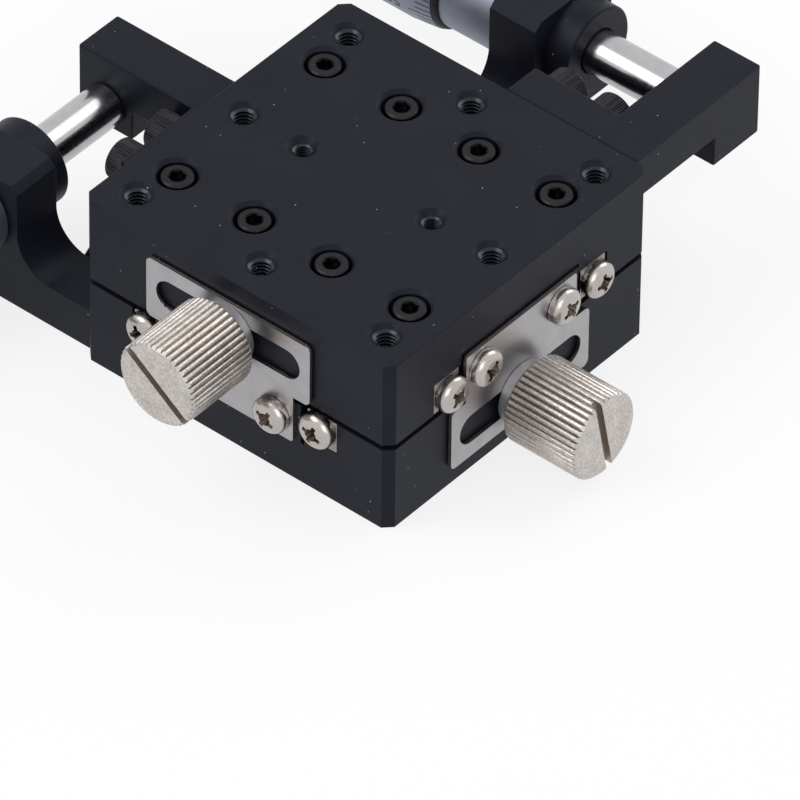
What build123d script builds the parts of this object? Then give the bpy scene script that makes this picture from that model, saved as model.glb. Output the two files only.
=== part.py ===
from build123d import *
import os
from dataclasses import dataclass
from math import cos, pi, sin, sqrt

os.makedirs("parts", exist_ok=True)

# XY linear stage with two crossed-roller slides, both drawn at mid travel.
# Millimetres, +Z up, origin at the centre of the base's underside, X and Y along the two travels.
# The upper slide runs along X. The lower one is the same set of pieces, turned over and set along Y.

# Bodies
PLATE = 62.0
BODY_HEIGHT = 16.0
BODY_GAP = 1.0
CORNER_CHAMFER = 1.5
EDGE_CHAMFER = 0.3
TRAVEL = 6.5

# Channel and rails
CHANNEL_HALF = 14.0
CHANNEL_DEPTH = 8.0
RAIL_HEIGHT = 6.0
RAIL_GAP = 1.0
OUTER_RAIL_WIDTH = 6.0
INNER_RAIL_WIDTH = 5.5
INNER_RAIL_LENGTH = 46.0
PRELOAD_GAP = 0.4
RAIL_SCREW_PITCH = 15.6
RAIL_END_SCREW_DROP = 0.4
RAIL_END_SCREW_SHIFT = 0.35

# Crossed rollers
ROLLER_DIAMETER = 2.0
ROLLER_LENGTH = 1.9
ROLLER_PITCH = 3.0
ROLLERS = 11
ROLLER_FIT = 0.01
CAGE_THICK = 0.4
CAGE_HEIGHT = 4.6
CAGE_MARGIN = 2.5
CAGE_FIT = 0.05

# Middle block
MIDDLE_OVERHANG = 0.3
BAR_CLEARANCE = 0.3

# Tapped holes in the top face and the underside
HOLE_PITCH = 25.0
M4_TAPPED_RADIUS = 1.65
M4_MOUTH_RADIUS = 2.9
SMALL_HOLE_HALF_PITCH = 13.0
M3_TAPPED_RADIUS = 1.25
M3_MOUTH_RADIUS = 2.65
TAPPED_DEPTH = 7.0
SMALL_TAPPED_DEPTH = 6.0

# Screws. Shanks stand this far inside their holes
SCREW_FIT = 0.05
M3_RADIUS = 1.5
M4_RADIUS = 2.0
CAP_HEAD_RADIUS = 2.75
CAP_HEAD_HEIGHT = 3.0
CAP_SUNK = 0.4
COUNTERBORE_RADIUS = 3.3
COUNTERBORE_MOUTH = 3.9
BRACKET_HEAD_RADIUS = 3.5
BRACKET_HEAD_HEIGHT = 4.0
BRACKET_SCREW_GRIP = 5.0
PAN_HEAD_RADIUS = 3.2
PAN_HEAD_HEIGHT = 2.3
FLAT_HEAD_RADIUS = 2.4

# Return springs and their pins
SPRING_SLOT_WIDTH = 5.0
SPRING_SLOT_DEPTH = 6.0
MOVING_PIN = PLATE / 2 - 11.0
FIXED_PIN = PLATE / 2 - 8.5
PIN_RADIUS = 1.0
SPRING_RADIUS = 1.6
SPRING_WIRE = 0.5
SPRING_PITCH = 1.5

# Anvil bracket
ARM_LENGTH = 26.2
ARM_DEPTH = 7.0
ARM_THICK = 8.1
LUG_WIDTH = 9.3
LUG_LENGTH = 30.4
END_LENGTH = 11.1
END_DEPTH = 13.7
SCREW_FROM_END = 4.2
SCREW_SPACING = 9.1

# Micrometer holder
AXIS_REACH = 24.5
AXIS_BELOW_ANVIL = 8.9
HOLDER_THICK = 9.4
HOLDER_FOOT = 17.2
HOLDER_HALF = 9.5
HOLDER_RISE = 8.3
HOLDER_DROP = 15.8
HOLDER_ARM = 8.0
HOLDER_FILLET_TOP = 1.0
HOLDER_CHAMFER = 1.5
X_HOLDER_FACE = -4.5
Y_HOLDER_FACE = -19.7
X_ANVIL_START = 2.1
Y_ANVIL_START = -13.9

# Micrometer head
SPINDLE_RADIUS = 3.75
SPINDLE_FIT = 0.03
STEM_RADIUS = 4.75
NUT_RADIUS = 7.7
NUT_LENGTH = 5.0
NUT_LIP = 1.0
NUT_LIP_GAP = 0.1
NUT_EDGE = 0.3
SLEEVE_RADIUS = 8.0
SLEEVE_SHOWN = 12.6
SLEEVE_LENGTH = 33.0
LEAD_SCREW_RADIUS = 3.0
SPINDLE_BACK = 8.0
NUT_THREAD_START = 16.0
THIMBLE_RADIUS = 9.4
THIMBLE_RIM_RADIUS = 8.85
THIMBLE_BEVEL = 5.0
THIMBLE_LENGTH = 35.5
THIMBLE_WEB = 2.4
THIMBLE_FIT = 0.1
WIPER_LENGTH = 1.0
WIPER_RADIUS = 8.7
RATCHET_RADIUS = 6.0
RATCHET_LENGTH = 12.0

# Side locks
LOCK_X = -0.75
LOCK_Z_BELOW_TOP = 9.4
PLATE_THICK = 0.6
PLATE_WIDTH = 33.0
PLATE_TALL = 11.8
PLATE_TOP_BELOW = 3.75
PLATE_STEM = 26.4
PLATE_CORNER = 1.1
STEM_CORNER = 0.6
LOCK_SLOT_LENGTH = 29.0
LOCK_SLOT_WIDTH = 5.6
PLATE_SCREW_HALF_PITCH = 9.35
PLATE_SCREW_BELOW_MID = 4.3
LOCK_COLLAR_RADIUS = 2.6
WASHER_RADIUS = 5.4
WASHER_THICK = 2.5
KNOB_RADIUS = 7.5
KNOB_LENGTH = 14.2
KNOB_CHAMFER = 0.5
KNOB_RIDGES = 44
KNURL_DEPTH = 0.45
RIDGE_SHARE = 0.6
KNOB_SLOT_WIDTH = 1.4
KNOB_SLOT_DEPTH = 1.3
X_KNOB_SLOT_ANGLE = -36.8
Y_KNOB_SLOT_ANGLE = 78.0
STUD_GRIP = 6.0
SLIDE_FIT = 0.02

# Sizes that follow from those above
HALF = PLATE / 2
HEIGHT = 2 * BODY_HEIGHT + BODY_GAP
MID_Z = HEIGHT / 2
UNDER = BODY_HEIGHT + BODY_GAP
CEILING = UNDER + CHANNEL_DEPTH
RAIL_TOP = UNDER + RAIL_HEIGHT
RAIL_Z = UNDER + RAIL_HEIGHT / 2
INNER_FACE = CHANNEL_HALF - RAIL_GAP / 2
OUTER_FACE = CHANNEL_HALF + RAIL_GAP / 2
OUTER_BACK = OUTER_FACE + OUTER_RAIL_WIDTH
OUTER_SCREW_Y = OUTER_FACE + OUTER_RAIL_WIDTH / 2
INNER_BACK = INNER_FACE - INNER_RAIL_WIDTH
INNER_SCREW_Y = INNER_FACE - INNER_RAIL_WIDTH / 2
BAR_TOP = CEILING - BAR_CLEARANCE
MIDDLE_HALF = HALF + MIDDLE_OVERHANG
SLOT_FLOOR = BAR_TOP - SPRING_SLOT_DEPTH
SPRING_Z = BAR_TOP - SPRING_SLOT_DEPTH / 2
LOCK_Z = HEIGHT - LOCK_Z_BELOW_TOP
PLATE_TOP = HEIGHT - PLATE_TOP_BELOW
WASHER_START = MIDDLE_OVERHANG + PLATE_THICK + SLIDE_FIT
OUTER_SCREWS_X = [RAIL_SCREW_PITCH * step for step in (-1.5, -0.5, 0.5, 1.5)]
INNER_SCREWS_X = [RAIL_SCREW_PITCH * step for step in (-1, 0, 1)]
SIDES = (-1, 1)


@dataclass(frozen=True)
class Drive:
    """Where one micrometer, its holder and its anvil sit, drawn as if the drive pushed along +X."""

    holder_mount: float
    holder_face: float
    anvil_mount: float
    anvil_start: float
    anvil_top: float

    @property
    def axis_y(self):
        return self.anvil_mount + AXIS_REACH

    @property
    def axis_z(self):
        return self.anvil_top - AXIS_BELOW_ANVIL

    @property
    def holder_outer(self):
        return self.holder_face - HOLDER_THICK

    @property
    def holder_bottom(self):
        return self.axis_z - HOLDER_DROP

    @property
    def lug_face(self):
        return self.anvil_start + ARM_LENGTH - LUG_WIDTH

    @property
    def thimble_front(self):
        return self.holder_outer - SLEEVE_SHOWN

    @property
    def thimble_end(self):
        return self.thimble_front - THIMBLE_LENGTH


X_DRIVE = Drive(MIDDLE_HALF, X_HOLDER_FACE, HALF, X_ANVIL_START, HEIGHT)
Y_DRIVE = Drive(HALF, Y_HOLDER_FACE, MIDDLE_HALF, Y_ANVIL_START, BAR_TOP)


def save(name, *shapes):
    """Write one node: a single solid, or a group of separate ones."""
    solids = [solid for shape in shapes for solid in shape.solids()]
    export_step(solids[0] if len(solids) == 1 else Compound(children=solids), f"parts/{name}.step")


def block(x0, x1, y0, y1, z0, z1):
    """Box between two corners."""
    return Pos((x0 + x1) / 2, (y0 + y1) / 2, (z0 + z1) / 2) * Box(x1 - x0, y1 - y0, z1 - z0)


def turned(points, origin, direction):
    """Solid of revolution from (distance, radius) points along an axis."""
    outline = make_face(Polyline(*[(radius, 0, along) for along, radius in points], close=True))
    return Plane(origin=origin, z_dir=direction) * revolve(outline, Axis.Z)


def rod(radius, length, origin, direction):
    """Plain cylinder that starts at a point."""
    return turned([(0, 0), (0, radius), (length, radius), (length, 0)], origin, direction)


def to_base(shape):
    """Turn a piece of the upper slide over into its place in the lower one."""
    return Rot(0, 0, 90) * mirror(shape, about=Plane.XY.offset(MID_Z))


def quarter(shape):
    """Turn a piece of the X drive's layout into the Y drive's."""
    return Rot(0, 0, 90) * shape


def tapped(radius, mouth, depth, origin, inward):
    """Cutter for a tapped hole with a chamfered mouth."""
    points = [(0, 0), (0, mouth), (mouth - radius, radius), (depth, radius), (depth, 0)]
    return turned(points, origin, inward)


def hex_cutter(flats, depth, origin, inward):
    """Cutter for a hexagon socket."""
    hexagon = RegularPolygon(radius=flats / sqrt(3), side_count=6)
    return Plane(origin=origin, z_dir=inward) * extrude(hexagon, depth)


def cap_screw(shank, length, head, height, flats, origin, inward):
    """Socket cap screw whose head stands on the origin."""
    radius = shank - SCREW_FIT
    points = [(-height, 0), (-height, head - 0.3), (-height + 0.3, head), (0, head)]
    points += [(0, radius), (length, radius), (length, 0)]
    top = Vector(*origin) - Vector(*inward) * height
    return turned(points, origin, inward) - hex_cutter(flats, height * 0.55, top, inward)


def pan_screw(shank, length, head, height, origin, inward):
    """Cross-recessed pan-head screw whose head stands on the origin."""
    radius = shank - SCREW_FIT
    points = [(-height, 0), (-height, head * 0.62), (-height * 0.82, head * 0.86), (-height * 0.5, head)]
    points += [(0, head), (0, radius), (length, radius), (length, 0)]
    cross = Box(head * 1.1, head * 0.28, height) + Box(head * 0.28, head * 1.1, height)
    top = Vector(*origin) - Vector(*inward) * height
    return turned(points, origin, inward) - Plane(origin=top, z_dir=inward) * cross


def flat_screw(length, origin, inward):
    """Countersunk M3 screw, flush with the origin's face."""
    radius = M3_RADIUS - SCREW_FIT
    points = [(0, 0), (0, FLAT_HEAD_RADIUS), (FLAT_HEAD_RADIUS - radius, radius)]
    points += [(length, radius), (length, 0)]
    return turned(points, origin, inward) - hex_cutter(2.0, 1.0, origin, inward)


def set_screw(length, origin, inward):
    """M3 set screw."""
    return rod(M3_RADIUS - SCREW_FIT, length, origin, inward) - hex_cutter(1.5, 1.5, origin, inward)


def knurled(radius, depth, ridges, length):
    """Straight-knurled cylinder along +Z, with broad ridges and narrow grooves."""
    corners = []
    for step in range(ridges):
        for share, reach in ((-RIDGE_SHARE / 2, radius), (RIDGE_SHARE / 2, radius), (0.5, radius - depth)):
            angle = 2 * pi * (step + share) / ridges
            corners.append((reach * cos(angle), reach * sin(angle)))
    return extrude(make_face(Polyline(*corners, close=True)), length)


def plate_body():
    """Block that the top body and, turned over, the base are cut from."""
    body = block(-HALF, HALF, -HALF, HALF, UNDER, HEIGHT)
    body = chamfer(body.edges().filter_by(Axis.Z), CORNER_CHAMFER)
    body = chamfer(body.faces().sort_by(Axis.Z)[-1].edges(), EDGE_CHAMFER)
    body -= block(-HALF - 1, HALF + 1, -CHANNEL_HALF, CHANNEL_HALF, UNDER - 1, CEILING)
    body -= block(-HALF - 1, HALF + 1, -OUTER_BACK, OUTER_BACK + PRELOAD_GAP, UNDER - 1, RAIL_TOP)
    for x in (-HOLE_PITCH, 0, HOLE_PITCH):
        for y in (-HOLE_PITCH, 0, HOLE_PITCH):
            if x or y:
                body -= tapped(M4_TAPPED_RADIUS, M4_MOUTH_RADIUS, TAPPED_DEPTH, (x, y, HEIGHT), (0, 0, -1))
    sunk = CAP_SUNK + CAP_HEAD_HEIGHT
    for side in SIDES:
        place = (side * SMALL_HOLE_HALF_PITCH, 0, HEIGHT)
        body -= tapped(M3_TAPPED_RADIUS, M3_MOUTH_RADIUS, SMALL_TAPPED_DEPTH, place, (0, 0, -1))
        for x in OUTER_SCREWS_X:
            mouth = (x, side * OUTER_SCREW_Y, HEIGHT)
            body -= tapped(COUNTERBORE_RADIUS, COUNTERBORE_MOUTH, sunk, mouth, (0, 0, -1))
            body -= rod(M3_RADIUS + 0.1, HEIGHT - RAIL_TOP + 1, mouth, (0, 0, -1))
    for x in INNER_SCREWS_X:
        body -= rod(M3_RADIUS, HALF - OUTER_BACK, (x, HALF, RAIL_Z), (0, -1, 0))
    return body - rod(M4_RADIUS, STUD_GRIP + 1, (LOCK_X, -HALF, LOCK_Z), (0, 1, 0))


def pin_hole(x):
    """Cutter for the spring pin in a body's channel."""
    return rod(PIN_RADIUS, 1.5, (x, 0, CEILING), (0, 0, 1))


def bracket_holes(drive_y, xs, z):
    """Cutters for the tapped holes that take a bracket's two screws."""
    holes = [rod(M4_RADIUS, BRACKET_SCREW_GRIP + 0.5, (x, drive_y, z), (0, -1, 0)) for x in xs]
    return holes[0] + holes[1]


def anvil_screw_places(drive):
    """X positions and height of the two screws that hold an anvil."""
    first = drive.anvil_start + SCREW_FROM_END
    return (first, first + SCREW_SPACING), drive.anvil_top - ARM_THICK / 2


def holder_screw_places(drive):
    """X positions and height of the two screws that hold a micrometer holder."""
    first = drive.holder_face + HOLDER_FOOT - SCREW_FROM_END
    return (first, first - SCREW_SPACING), drive.holder_bottom + HOLDER_ARM / 2


def top_body():
    """Upper moving body with the anvil's tapped holes."""
    body = plate_body() - pin_hole(MOVING_PIN)
    return body - bracket_holes(X_DRIVE.anvil_mount, *anvil_screw_places(X_DRIVE))


def base_body():
    """Fixed base with the Y holder's tapped holes."""
    body = to_base(plate_body() - pin_hole(-MOVING_PIN))
    return body - quarter(bracket_holes(Y_DRIVE.holder_mount, *holder_screw_places(Y_DRIVE)))


def groove(side):
    """Cutter for the square channel that the crossed rollers run in, with its relief slots."""
    length = PLATE + 2
    corner = ROLLER_DIAMETER / sqrt(2)
    cutter = Rot(45, 0, 0) * Box(length, ROLLER_DIAMETER, ROLLER_DIAMETER)
    cutter += Box(length, 2 * corner + 0.5, 0.4)
    return Pos(0, side * CHANNEL_HALF, RAIL_Z) * cutter


def rail_end_place(end, side):
    """Place of the screw in one rail's end."""
    return (end * HALF, side * OUTER_SCREW_Y + RAIL_END_SCREW_SHIFT, RAIL_Z - RAIL_END_SCREW_DROP)


def outer_rail(side):
    """Hardened rail in a body's channel."""
    near, far = sorted((side * OUTER_FACE, side * OUTER_BACK))
    rail = block(-HALF, HALF, near, far, UNDER, RAIL_TOP) - groove(side)
    for x in OUTER_SCREWS_X:
        rail -= rod(M3_RADIUS, 4.5, (x, side * OUTER_SCREW_Y, RAIL_TOP), (0, 0, -1))
    for end in SIDES:
        rail -= rod(M3_RADIUS, 5.0, rail_end_place(end, side), (-end, 0, 0))
    return rail


def inner_rail(side):
    """Hardened rail on the middle block."""
    near, far = sorted((side * INNER_FACE, side * INNER_BACK))
    half = INNER_RAIL_LENGTH / 2
    rail = block(-half, half, near, far, UNDER, RAIL_TOP) - groove(side)
    for x in INNER_SCREWS_X:
        rail -= rod(M3_RADIUS, 4.0, (x, side * INNER_SCREW_Y, RAIL_TOP), (0, 0, -1))
    return rail


def rail_screws():
    """Cap screws that hold the two outer rails, sunk in the body's face."""
    seat = HEIGHT - CAP_SUNK - CAP_HEAD_HEIGHT
    length = seat - RAIL_TOP + 4.0
    places = [(x, side * OUTER_SCREW_Y, seat) for side in SIDES for x in OUTER_SCREWS_X]
    return [
        cap_screw(M3_RADIUS, length, CAP_HEAD_RADIUS, CAP_HEAD_HEIGHT, 2.5, place, (0, 0, -1))
        for place in places
    ]


def inner_rail_screws():
    """Countersunk screws that hold the two inner rails."""
    return [
        flat_screw(BAR_TOP - RAIL_TOP + 3.5, (x, side * INNER_SCREW_Y, BAR_TOP), (0, 0, -1))
        for side in SIDES
        for x in INNER_SCREWS_X
    ]


def rail_end_screws():
    """Screws at the rails' ends, which stop the cages."""
    return [
        pan_screw(M3_RADIUS, 4.5, PAN_HEAD_RADIUS, PAN_HEAD_HEIGHT, rail_end_place(end, side), (-end, 0, 0))
        for end in SIDES
        for side in SIDES
    ]


def preload_screws():
    """Set screws that press one outer rail on the rollers."""
    length = HALF - OUTER_BACK - 2.0
    return [set_screw(length, (x, OUTER_BACK + length, RAIL_Z), (0, -1, 0)) for x in INNER_SCREWS_X]


def rollers(grow=0.0):
    """Crossed rollers of one slide, each second one leaning the other way."""
    radius = ROLLER_DIAMETER / 2 - ROLLER_FIT + grow
    made = []
    for side in SIDES:
        for step in range(ROLLERS):
            x = (step - (ROLLERS - 1) / 2) * ROLLER_PITCH
            lean = 45 if step % 2 else -45
            roller = Rot(lean, 0, 0) * Cylinder(radius, ROLLER_LENGTH + 2 * grow)
            made.append(Pos(x, side * CHANNEL_HALF, RAIL_Z) * roller)
    return made


def cages():
    """Two thin strips that space the rollers."""
    half = (ROLLERS - 1) / 2 * ROLLER_PITCH + CAGE_MARGIN
    made = []
    for side in SIDES:
        y = side * CHANNEL_HALF
        low = RAIL_Z - CAGE_HEIGHT / 2
        strip = block(-half, half, y - CAGE_THICK / 2, y + CAGE_THICK / 2, low, low + CAGE_HEIGHT)
        made.append(strip)
    for roller in rollers(grow=CAGE_FIT):
        side = 0 if roller.center().Y < 0 else 1
        made[side] -= roller
    return made


def middle_bar(heading):
    """Bar that carries one pair of inner rails. heading is the side of the body's spring pin."""
    bar = block(-MIDDLE_HALF, MIDDLE_HALF, -INNER_FACE, INNER_FACE, UNDER, BAR_TOP)
    half = INNER_RAIL_LENGTH / 2
    for side in SIDES:
        near, far = sorted((side * (INNER_FACE + 1), side * INNER_BACK))
        bar -= block(-half, half, near, far, UNDER - 1, RAIL_TOP)
        for x in INNER_SCREWS_X:
            mouth = (x, side * INNER_SCREW_Y, BAR_TOP)
            bar -= tapped(M3_RADIUS, FLAT_HEAD_RADIUS + SCREW_FIT, 5.0, mouth, (0, 0, -1))
    near, far = sorted((-heading * (FIXED_PIN + 2.5), heading * (MOVING_PIN + TRAVEL + PIN_RADIUS + 1.5)))
    width = SPRING_SLOT_WIDTH / 2
    bar -= block(near, far, -width, width, SLOT_FLOOR, BAR_TOP + 1)
    return bar - rod(PIN_RADIUS, 1.5, (-heading * FIXED_PIN, 0, SLOT_FLOOR), (0, 0, -1))


def lock_screw_places():
    """Places of the two screws that hold a lock plate."""
    z = MID_Z - PLATE_SCREW_BELOW_MID
    return [(LOCK_X + side * PLATE_SCREW_HALF_PITCH, -MIDDLE_HALF, z) for side in SIDES]


def middle_block():
    """Cross that joins the two slides."""
    core = block(-INNER_FACE, INNER_FACE, -INNER_FACE, INNER_FACE, BODY_HEIGHT, UNDER)
    middle = middle_bar(1) + core + to_base(middle_bar(-1))
    for place in lock_screw_places():
        hole = rod(M3_RADIUS, 6.5, place, (0, 1, 0))
        middle = middle - hole - to_base(hole)
    middle -= bracket_holes(X_DRIVE.holder_mount, *holder_screw_places(X_DRIVE))
    return middle - quarter(bracket_holes(Y_DRIVE.anvil_mount, *anvil_screw_places(Y_DRIVE)))


def spring_pins(heading):
    """Body's pin and the middle block's pin for one return spring."""
    low = SLOT_FLOOR + 0.5
    moving = rod(PIN_RADIUS, CEILING + 1.5 - low, (heading * MOVING_PIN, 0, low), (0, 0, 1))
    low = SLOT_FLOOR - 1.5
    fixed = rod(PIN_RADIUS, BAR_TOP - 0.5 - low, (-heading * FIXED_PIN, 0, low), (0, 0, 1))
    return moving, fixed


def return_spring(heading):
    """Extension spring between the two pins, with an eye round each."""
    wire = SPRING_WIRE / 2
    eye = PIN_RADIUS + 0.15 + wire
    start = -FIXED_PIN + eye + 1.2
    end = MOVING_PIN - eye - 1.2
    path = Helix(pitch=SPRING_PITCH, height=end - start, radius=SPRING_RADIUS)
    coil = sweep(Plane(origin=path @ 0, z_dir=path % 0) * Circle(wire), path=path, is_frenet=True)
    coil = Plane(origin=(start, 0, SPRING_Z), x_dir=(0, 1, 0), z_dir=(1, 0, 0)) * coil
    spring = coil
    turns = (end - start) / SPRING_PITCH
    last = (SPRING_RADIUS * cos(2 * pi * turns), SPRING_RADIUS * sin(2 * pi * turns))
    ends = [(-FIXED_PIN, start, (SPRING_RADIUS, 0), 1), (MOVING_PIN, end, last, -1)]
    for pin, coil_end, (y, z), way in ends:
        outer = Vector(pin + way * eye, 0, SPRING_Z)
        inner = Vector(coil_end, y, SPRING_Z + z)
        leg = inner - outer
        spring += rod(wire, leg.length, outer, leg.normalized())
        spring += Pos(pin, 0, SPRING_Z) * Torus(eye, wire)
        spring += Pos(inner.X, inner.Y, inner.Z) * Sphere(wire * 1.1)
    return spring if heading > 0 else Rot(0, 0, 180) * spring


def anvil(drive):
    """L-shaped bracket with the block that the spindle's tip presses on."""
    x0, y0, top = drive.anvil_start, drive.anvil_mount, drive.anvil_top
    x1, lug = x0 + ARM_LENGTH, drive.lug_face
    bracket = block(x0, x1, y0, y0 + ARM_DEPTH, top - ARM_THICK, top)
    bracket += block(lug, x1, y0, y0 + LUG_LENGTH, top - ARM_THICK, top)
    bracket += block(lug, x1, y0 + LUG_LENGTH - END_LENGTH, y0 + LUG_LENGTH, top - END_DEPTH, top)
    bracket = chamfer(bracket.faces().sort_by(Axis.Z)[-1].edges(), 0.4)
    xs, z = anvil_screw_places(drive)
    for x in xs:
        bracket -= rod(M4_RADIUS + 0.15, ARM_DEPTH, (x, y0, z), (0, 1, 0))
    return bracket


def holder(drive):
    """Micrometer holder: a bored head on an arm, with a foot for two screws."""
    y0, bottom = drive.holder_mount, drive.holder_bottom
    arm_top = bottom + HOLDER_ARM
    near, far = drive.axis_y - HOLDER_HALF, drive.axis_y + HOLDER_HALF
    top, cut = drive.axis_z + HOLDER_RISE, HOLDER_CHAMFER
    bend = drive.axis_z - HOLDER_FILLET_TOP - arm_top
    middle = (near - bend * (1 - sqrt(0.5)), arm_top + bend * (1 - sqrt(0.5)))
    edges = Polyline(
        (near - bend, arm_top), (y0, arm_top), (y0, bottom), (far, bottom), (far, top - cut),
        (far - cut, top), (near + cut, top), (near, top - cut), (near, arm_top + bend),
    )
    edges += ThreePointArc((near, arm_top + bend), middle, (near - bend, arm_top))
    head = extrude(Plane.YZ.offset(drive.holder_outer) * make_face(edges), HOLDER_THICK)
    head += block(drive.holder_outer, drive.holder_face + HOLDER_FOOT, y0, y0 + ARM_DEPTH, bottom, arm_top)
    start = (drive.holder_outer - 1, drive.axis_y, drive.axis_z)
    head -= rod(STEM_RADIUS + SCREW_FIT, HOLDER_THICK + 2, start, (1, 0, 0))
    xs, z = holder_screw_places(drive)
    for x in xs:
        head -= rod(M4_RADIUS + 0.15, ARM_DEPTH, (x, y0, z), (0, 1, 0))
    return head


def bracket_screws(face, xs, z):
    """The two cap screws of a bracket."""
    length = ARM_DEPTH + BRACKET_SCREW_GRIP
    head, height = BRACKET_HEAD_RADIUS, BRACKET_HEAD_HEIGHT
    return [cap_screw(M4_RADIUS, length, head, height, 3.0, (x, face + ARM_DEPTH, z), (0, -1, 0)) for x in xs]


def on_axis(drive, points):
    """Solid of revolution about a drive's axis from (x, radius) points."""
    return turned(points, (0, drive.axis_y, drive.axis_z), (1, 0, 0))


def sleeve(drive):
    """Fixed sleeve with the stem that the holder and its nut grip."""
    front = drive.holder_face + NUT_LENGTH - NUT_LIP
    outer = drive.holder_outer
    end, thread = outer - SLEEVE_LENGTH, outer - NUT_THREAD_START
    bore, screw = SPINDLE_RADIUS + SPINDLE_FIT, LEAD_SCREW_RADIUS + SPINDLE_FIT
    points = [(front, bore), (front, STEM_RADIUS), (outer, STEM_RADIUS), (outer, SLEEVE_RADIUS - 0.4)]
    points += [(outer - 0.4, SLEEVE_RADIUS), (end + 0.5, SLEEVE_RADIUS), (end, SLEEVE_RADIUS - 0.5)]
    points += [(end, screw), (thread, screw), (thread, bore)]
    return on_axis(drive, points)


def clamp_nut(drive):
    """Round nut that clamps the stem in the holder, with a lip close round the spindle."""
    face, front = drive.holder_face, drive.holder_face + NUT_LENGTH
    hole, lip = STEM_RADIUS + SCREW_FIT, SPINDLE_RADIUS + NUT_LIP_GAP
    points = [(face, hole), (face, NUT_RADIUS), (front - NUT_EDGE, NUT_RADIUS)]
    points += [(front, NUT_RADIUS - NUT_EDGE), (front, lip), (front - NUT_LIP, lip), (front - NUT_LIP, hole)]
    return on_axis(drive, points)


def spindle(drive):
    """Spindle that slides without turning and ends on the anvil."""
    tip, back = drive.lug_face - SLIDE_FIT, drive.holder_outer - SPINDLE_BACK
    points = [(back, 0), (back, SPINDLE_RADIUS), (tip - 0.3, SPINDLE_RADIUS)]
    points += [(tip, SPINDLE_RADIUS - 0.3), (tip, 0)]
    return on_axis(drive, points)


def thimble(drive):
    """Graduated thimble, open at the front and closed by a web at the back."""
    front, end = drive.thimble_front, drive.thimble_end
    bore, hole = SLEEVE_RADIUS + THIMBLE_FIT, LEAD_SCREW_RADIUS + SLIDE_FIT
    points = [(front, bore + 0.15), (front, THIMBLE_RIM_RADIUS), (front - THIMBLE_BEVEL, THIMBLE_RADIUS)]
    points += [(end + 0.6, THIMBLE_RADIUS), (end, THIMBLE_RADIUS - 0.6), (end, hole)]
    points += [(end + THIMBLE_WEB, hole), (end + THIMBLE_WEB, bore), (front - 0.4, bore)]
    return on_axis(drive, points)


def wiper_ring(drive):
    """Black ring in the thimble's mouth, rounded towards the sleeve."""
    front, end = drive.thimble_front, drive.thimble_front + WIPER_LENGTH
    bore = SLEEVE_RADIUS + THIMBLE_FIT / 2
    points = [(front, bore), (front, WIPER_RADIUS), (front + WIPER_LENGTH * 0.6, WIPER_RADIUS - 0.1)]
    points += [(end, WIPER_RADIUS - 0.4), (end, bore)]
    return on_axis(drive, points)


def lead_screw(drive):
    """Measuring screw that turns with the thimble and pushes the spindle."""
    front, end = drive.holder_outer - SPINDLE_BACK - SLIDE_FIT, drive.thimble_end - 4.0
    return on_axis(drive, [(end, 0), (end, LEAD_SCREW_RADIUS), (front, LEAD_SCREW_RADIUS), (front, 0)])


def ratchet(drive):
    """Knurled ratchet knob at the thimble's end."""
    end, hole = drive.thimble_end, LEAD_SCREW_RADIUS + SLIDE_FIT
    last = end - RATCHET_LENGTH
    points = [(end, hole), (end, RATCHET_RADIUS - 1), (end - 1.2, RATCHET_RADIUS - 1)]
    points += [(end - 1.2, RATCHET_RADIUS), (last + 0.6, RATCHET_RADIUS), (last, RATCHET_RADIUS - 0.6)]
    points += [(last, 0), (end - 4.5, 0), (end - 4.5, hole)]
    knurl = knurled(RATCHET_RADIUS, 0.25, 40, RATCHET_LENGTH)
    return on_axis(drive, points) & Plane(origin=(end, drive.axis_y, drive.axis_z), z_dir=(-1, 0, 0)) * knurl


def lock_plate():
    """Slotted plate that the lock knob clamps, on the middle block's -Y end."""
    low, shoulder = HEIGHT - BAR_TOP, PLATE_TOP - PLATE_TALL
    inside = shoulder + 2
    face = Pos(LOCK_X, (PLATE_TOP + shoulder) / 2) * RectangleRounded(PLATE_WIDTH, PLATE_TALL, PLATE_CORNER)
    face += Pos(LOCK_X, (low + inside) / 2) * RectangleRounded(PLATE_STEM, inside - low, STEM_CORNER)
    face -= Pos(LOCK_X, LOCK_Z) * SlotOverall(LOCK_SLOT_LENGTH, LOCK_SLOT_WIDTH)
    plate = extrude(Plane.XZ.offset(MIDDLE_HALF) * face, PLATE_THICK)
    for x, y, z in lock_screw_places():
        plate -= rod(M3_RADIUS + 0.1, PLATE_THICK, (x, y, z), (0, -1, 0))
    return plate


def lock_plate_screws():
    """Pan-head screws that hold a lock plate."""
    length = PLATE_THICK + 5.5
    return [
        pan_screw(M3_RADIUS, length, PAN_HEAD_RADIUS, PAN_HEAD_HEIGHT, (x, y - PLATE_THICK, z), (0, 1, 0))
        for x, y, z in lock_screw_places()
    ]


def lock_ring(start, length, radius, hole):
    """Ring round the lock's stud, outside the -Y face."""
    points = [(start, hole), (start, radius), (start + length, radius), (start + length, hole)]
    return turned(points, (LOCK_X, -HALF, LOCK_Z), (0, -1, 0))


def lock_collar():
    """Collar on the body's face, inside the lock plate's slot."""
    return lock_ring(0, WASHER_START, LOCK_COLLAR_RADIUS, M4_RADIUS + SCREW_FIT)


def lock_washer():
    """Thick washer behind the knob."""
    return lock_ring(WASHER_START, WASHER_THICK, WASHER_RADIUS, M4_RADIUS + SCREW_FIT)


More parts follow.
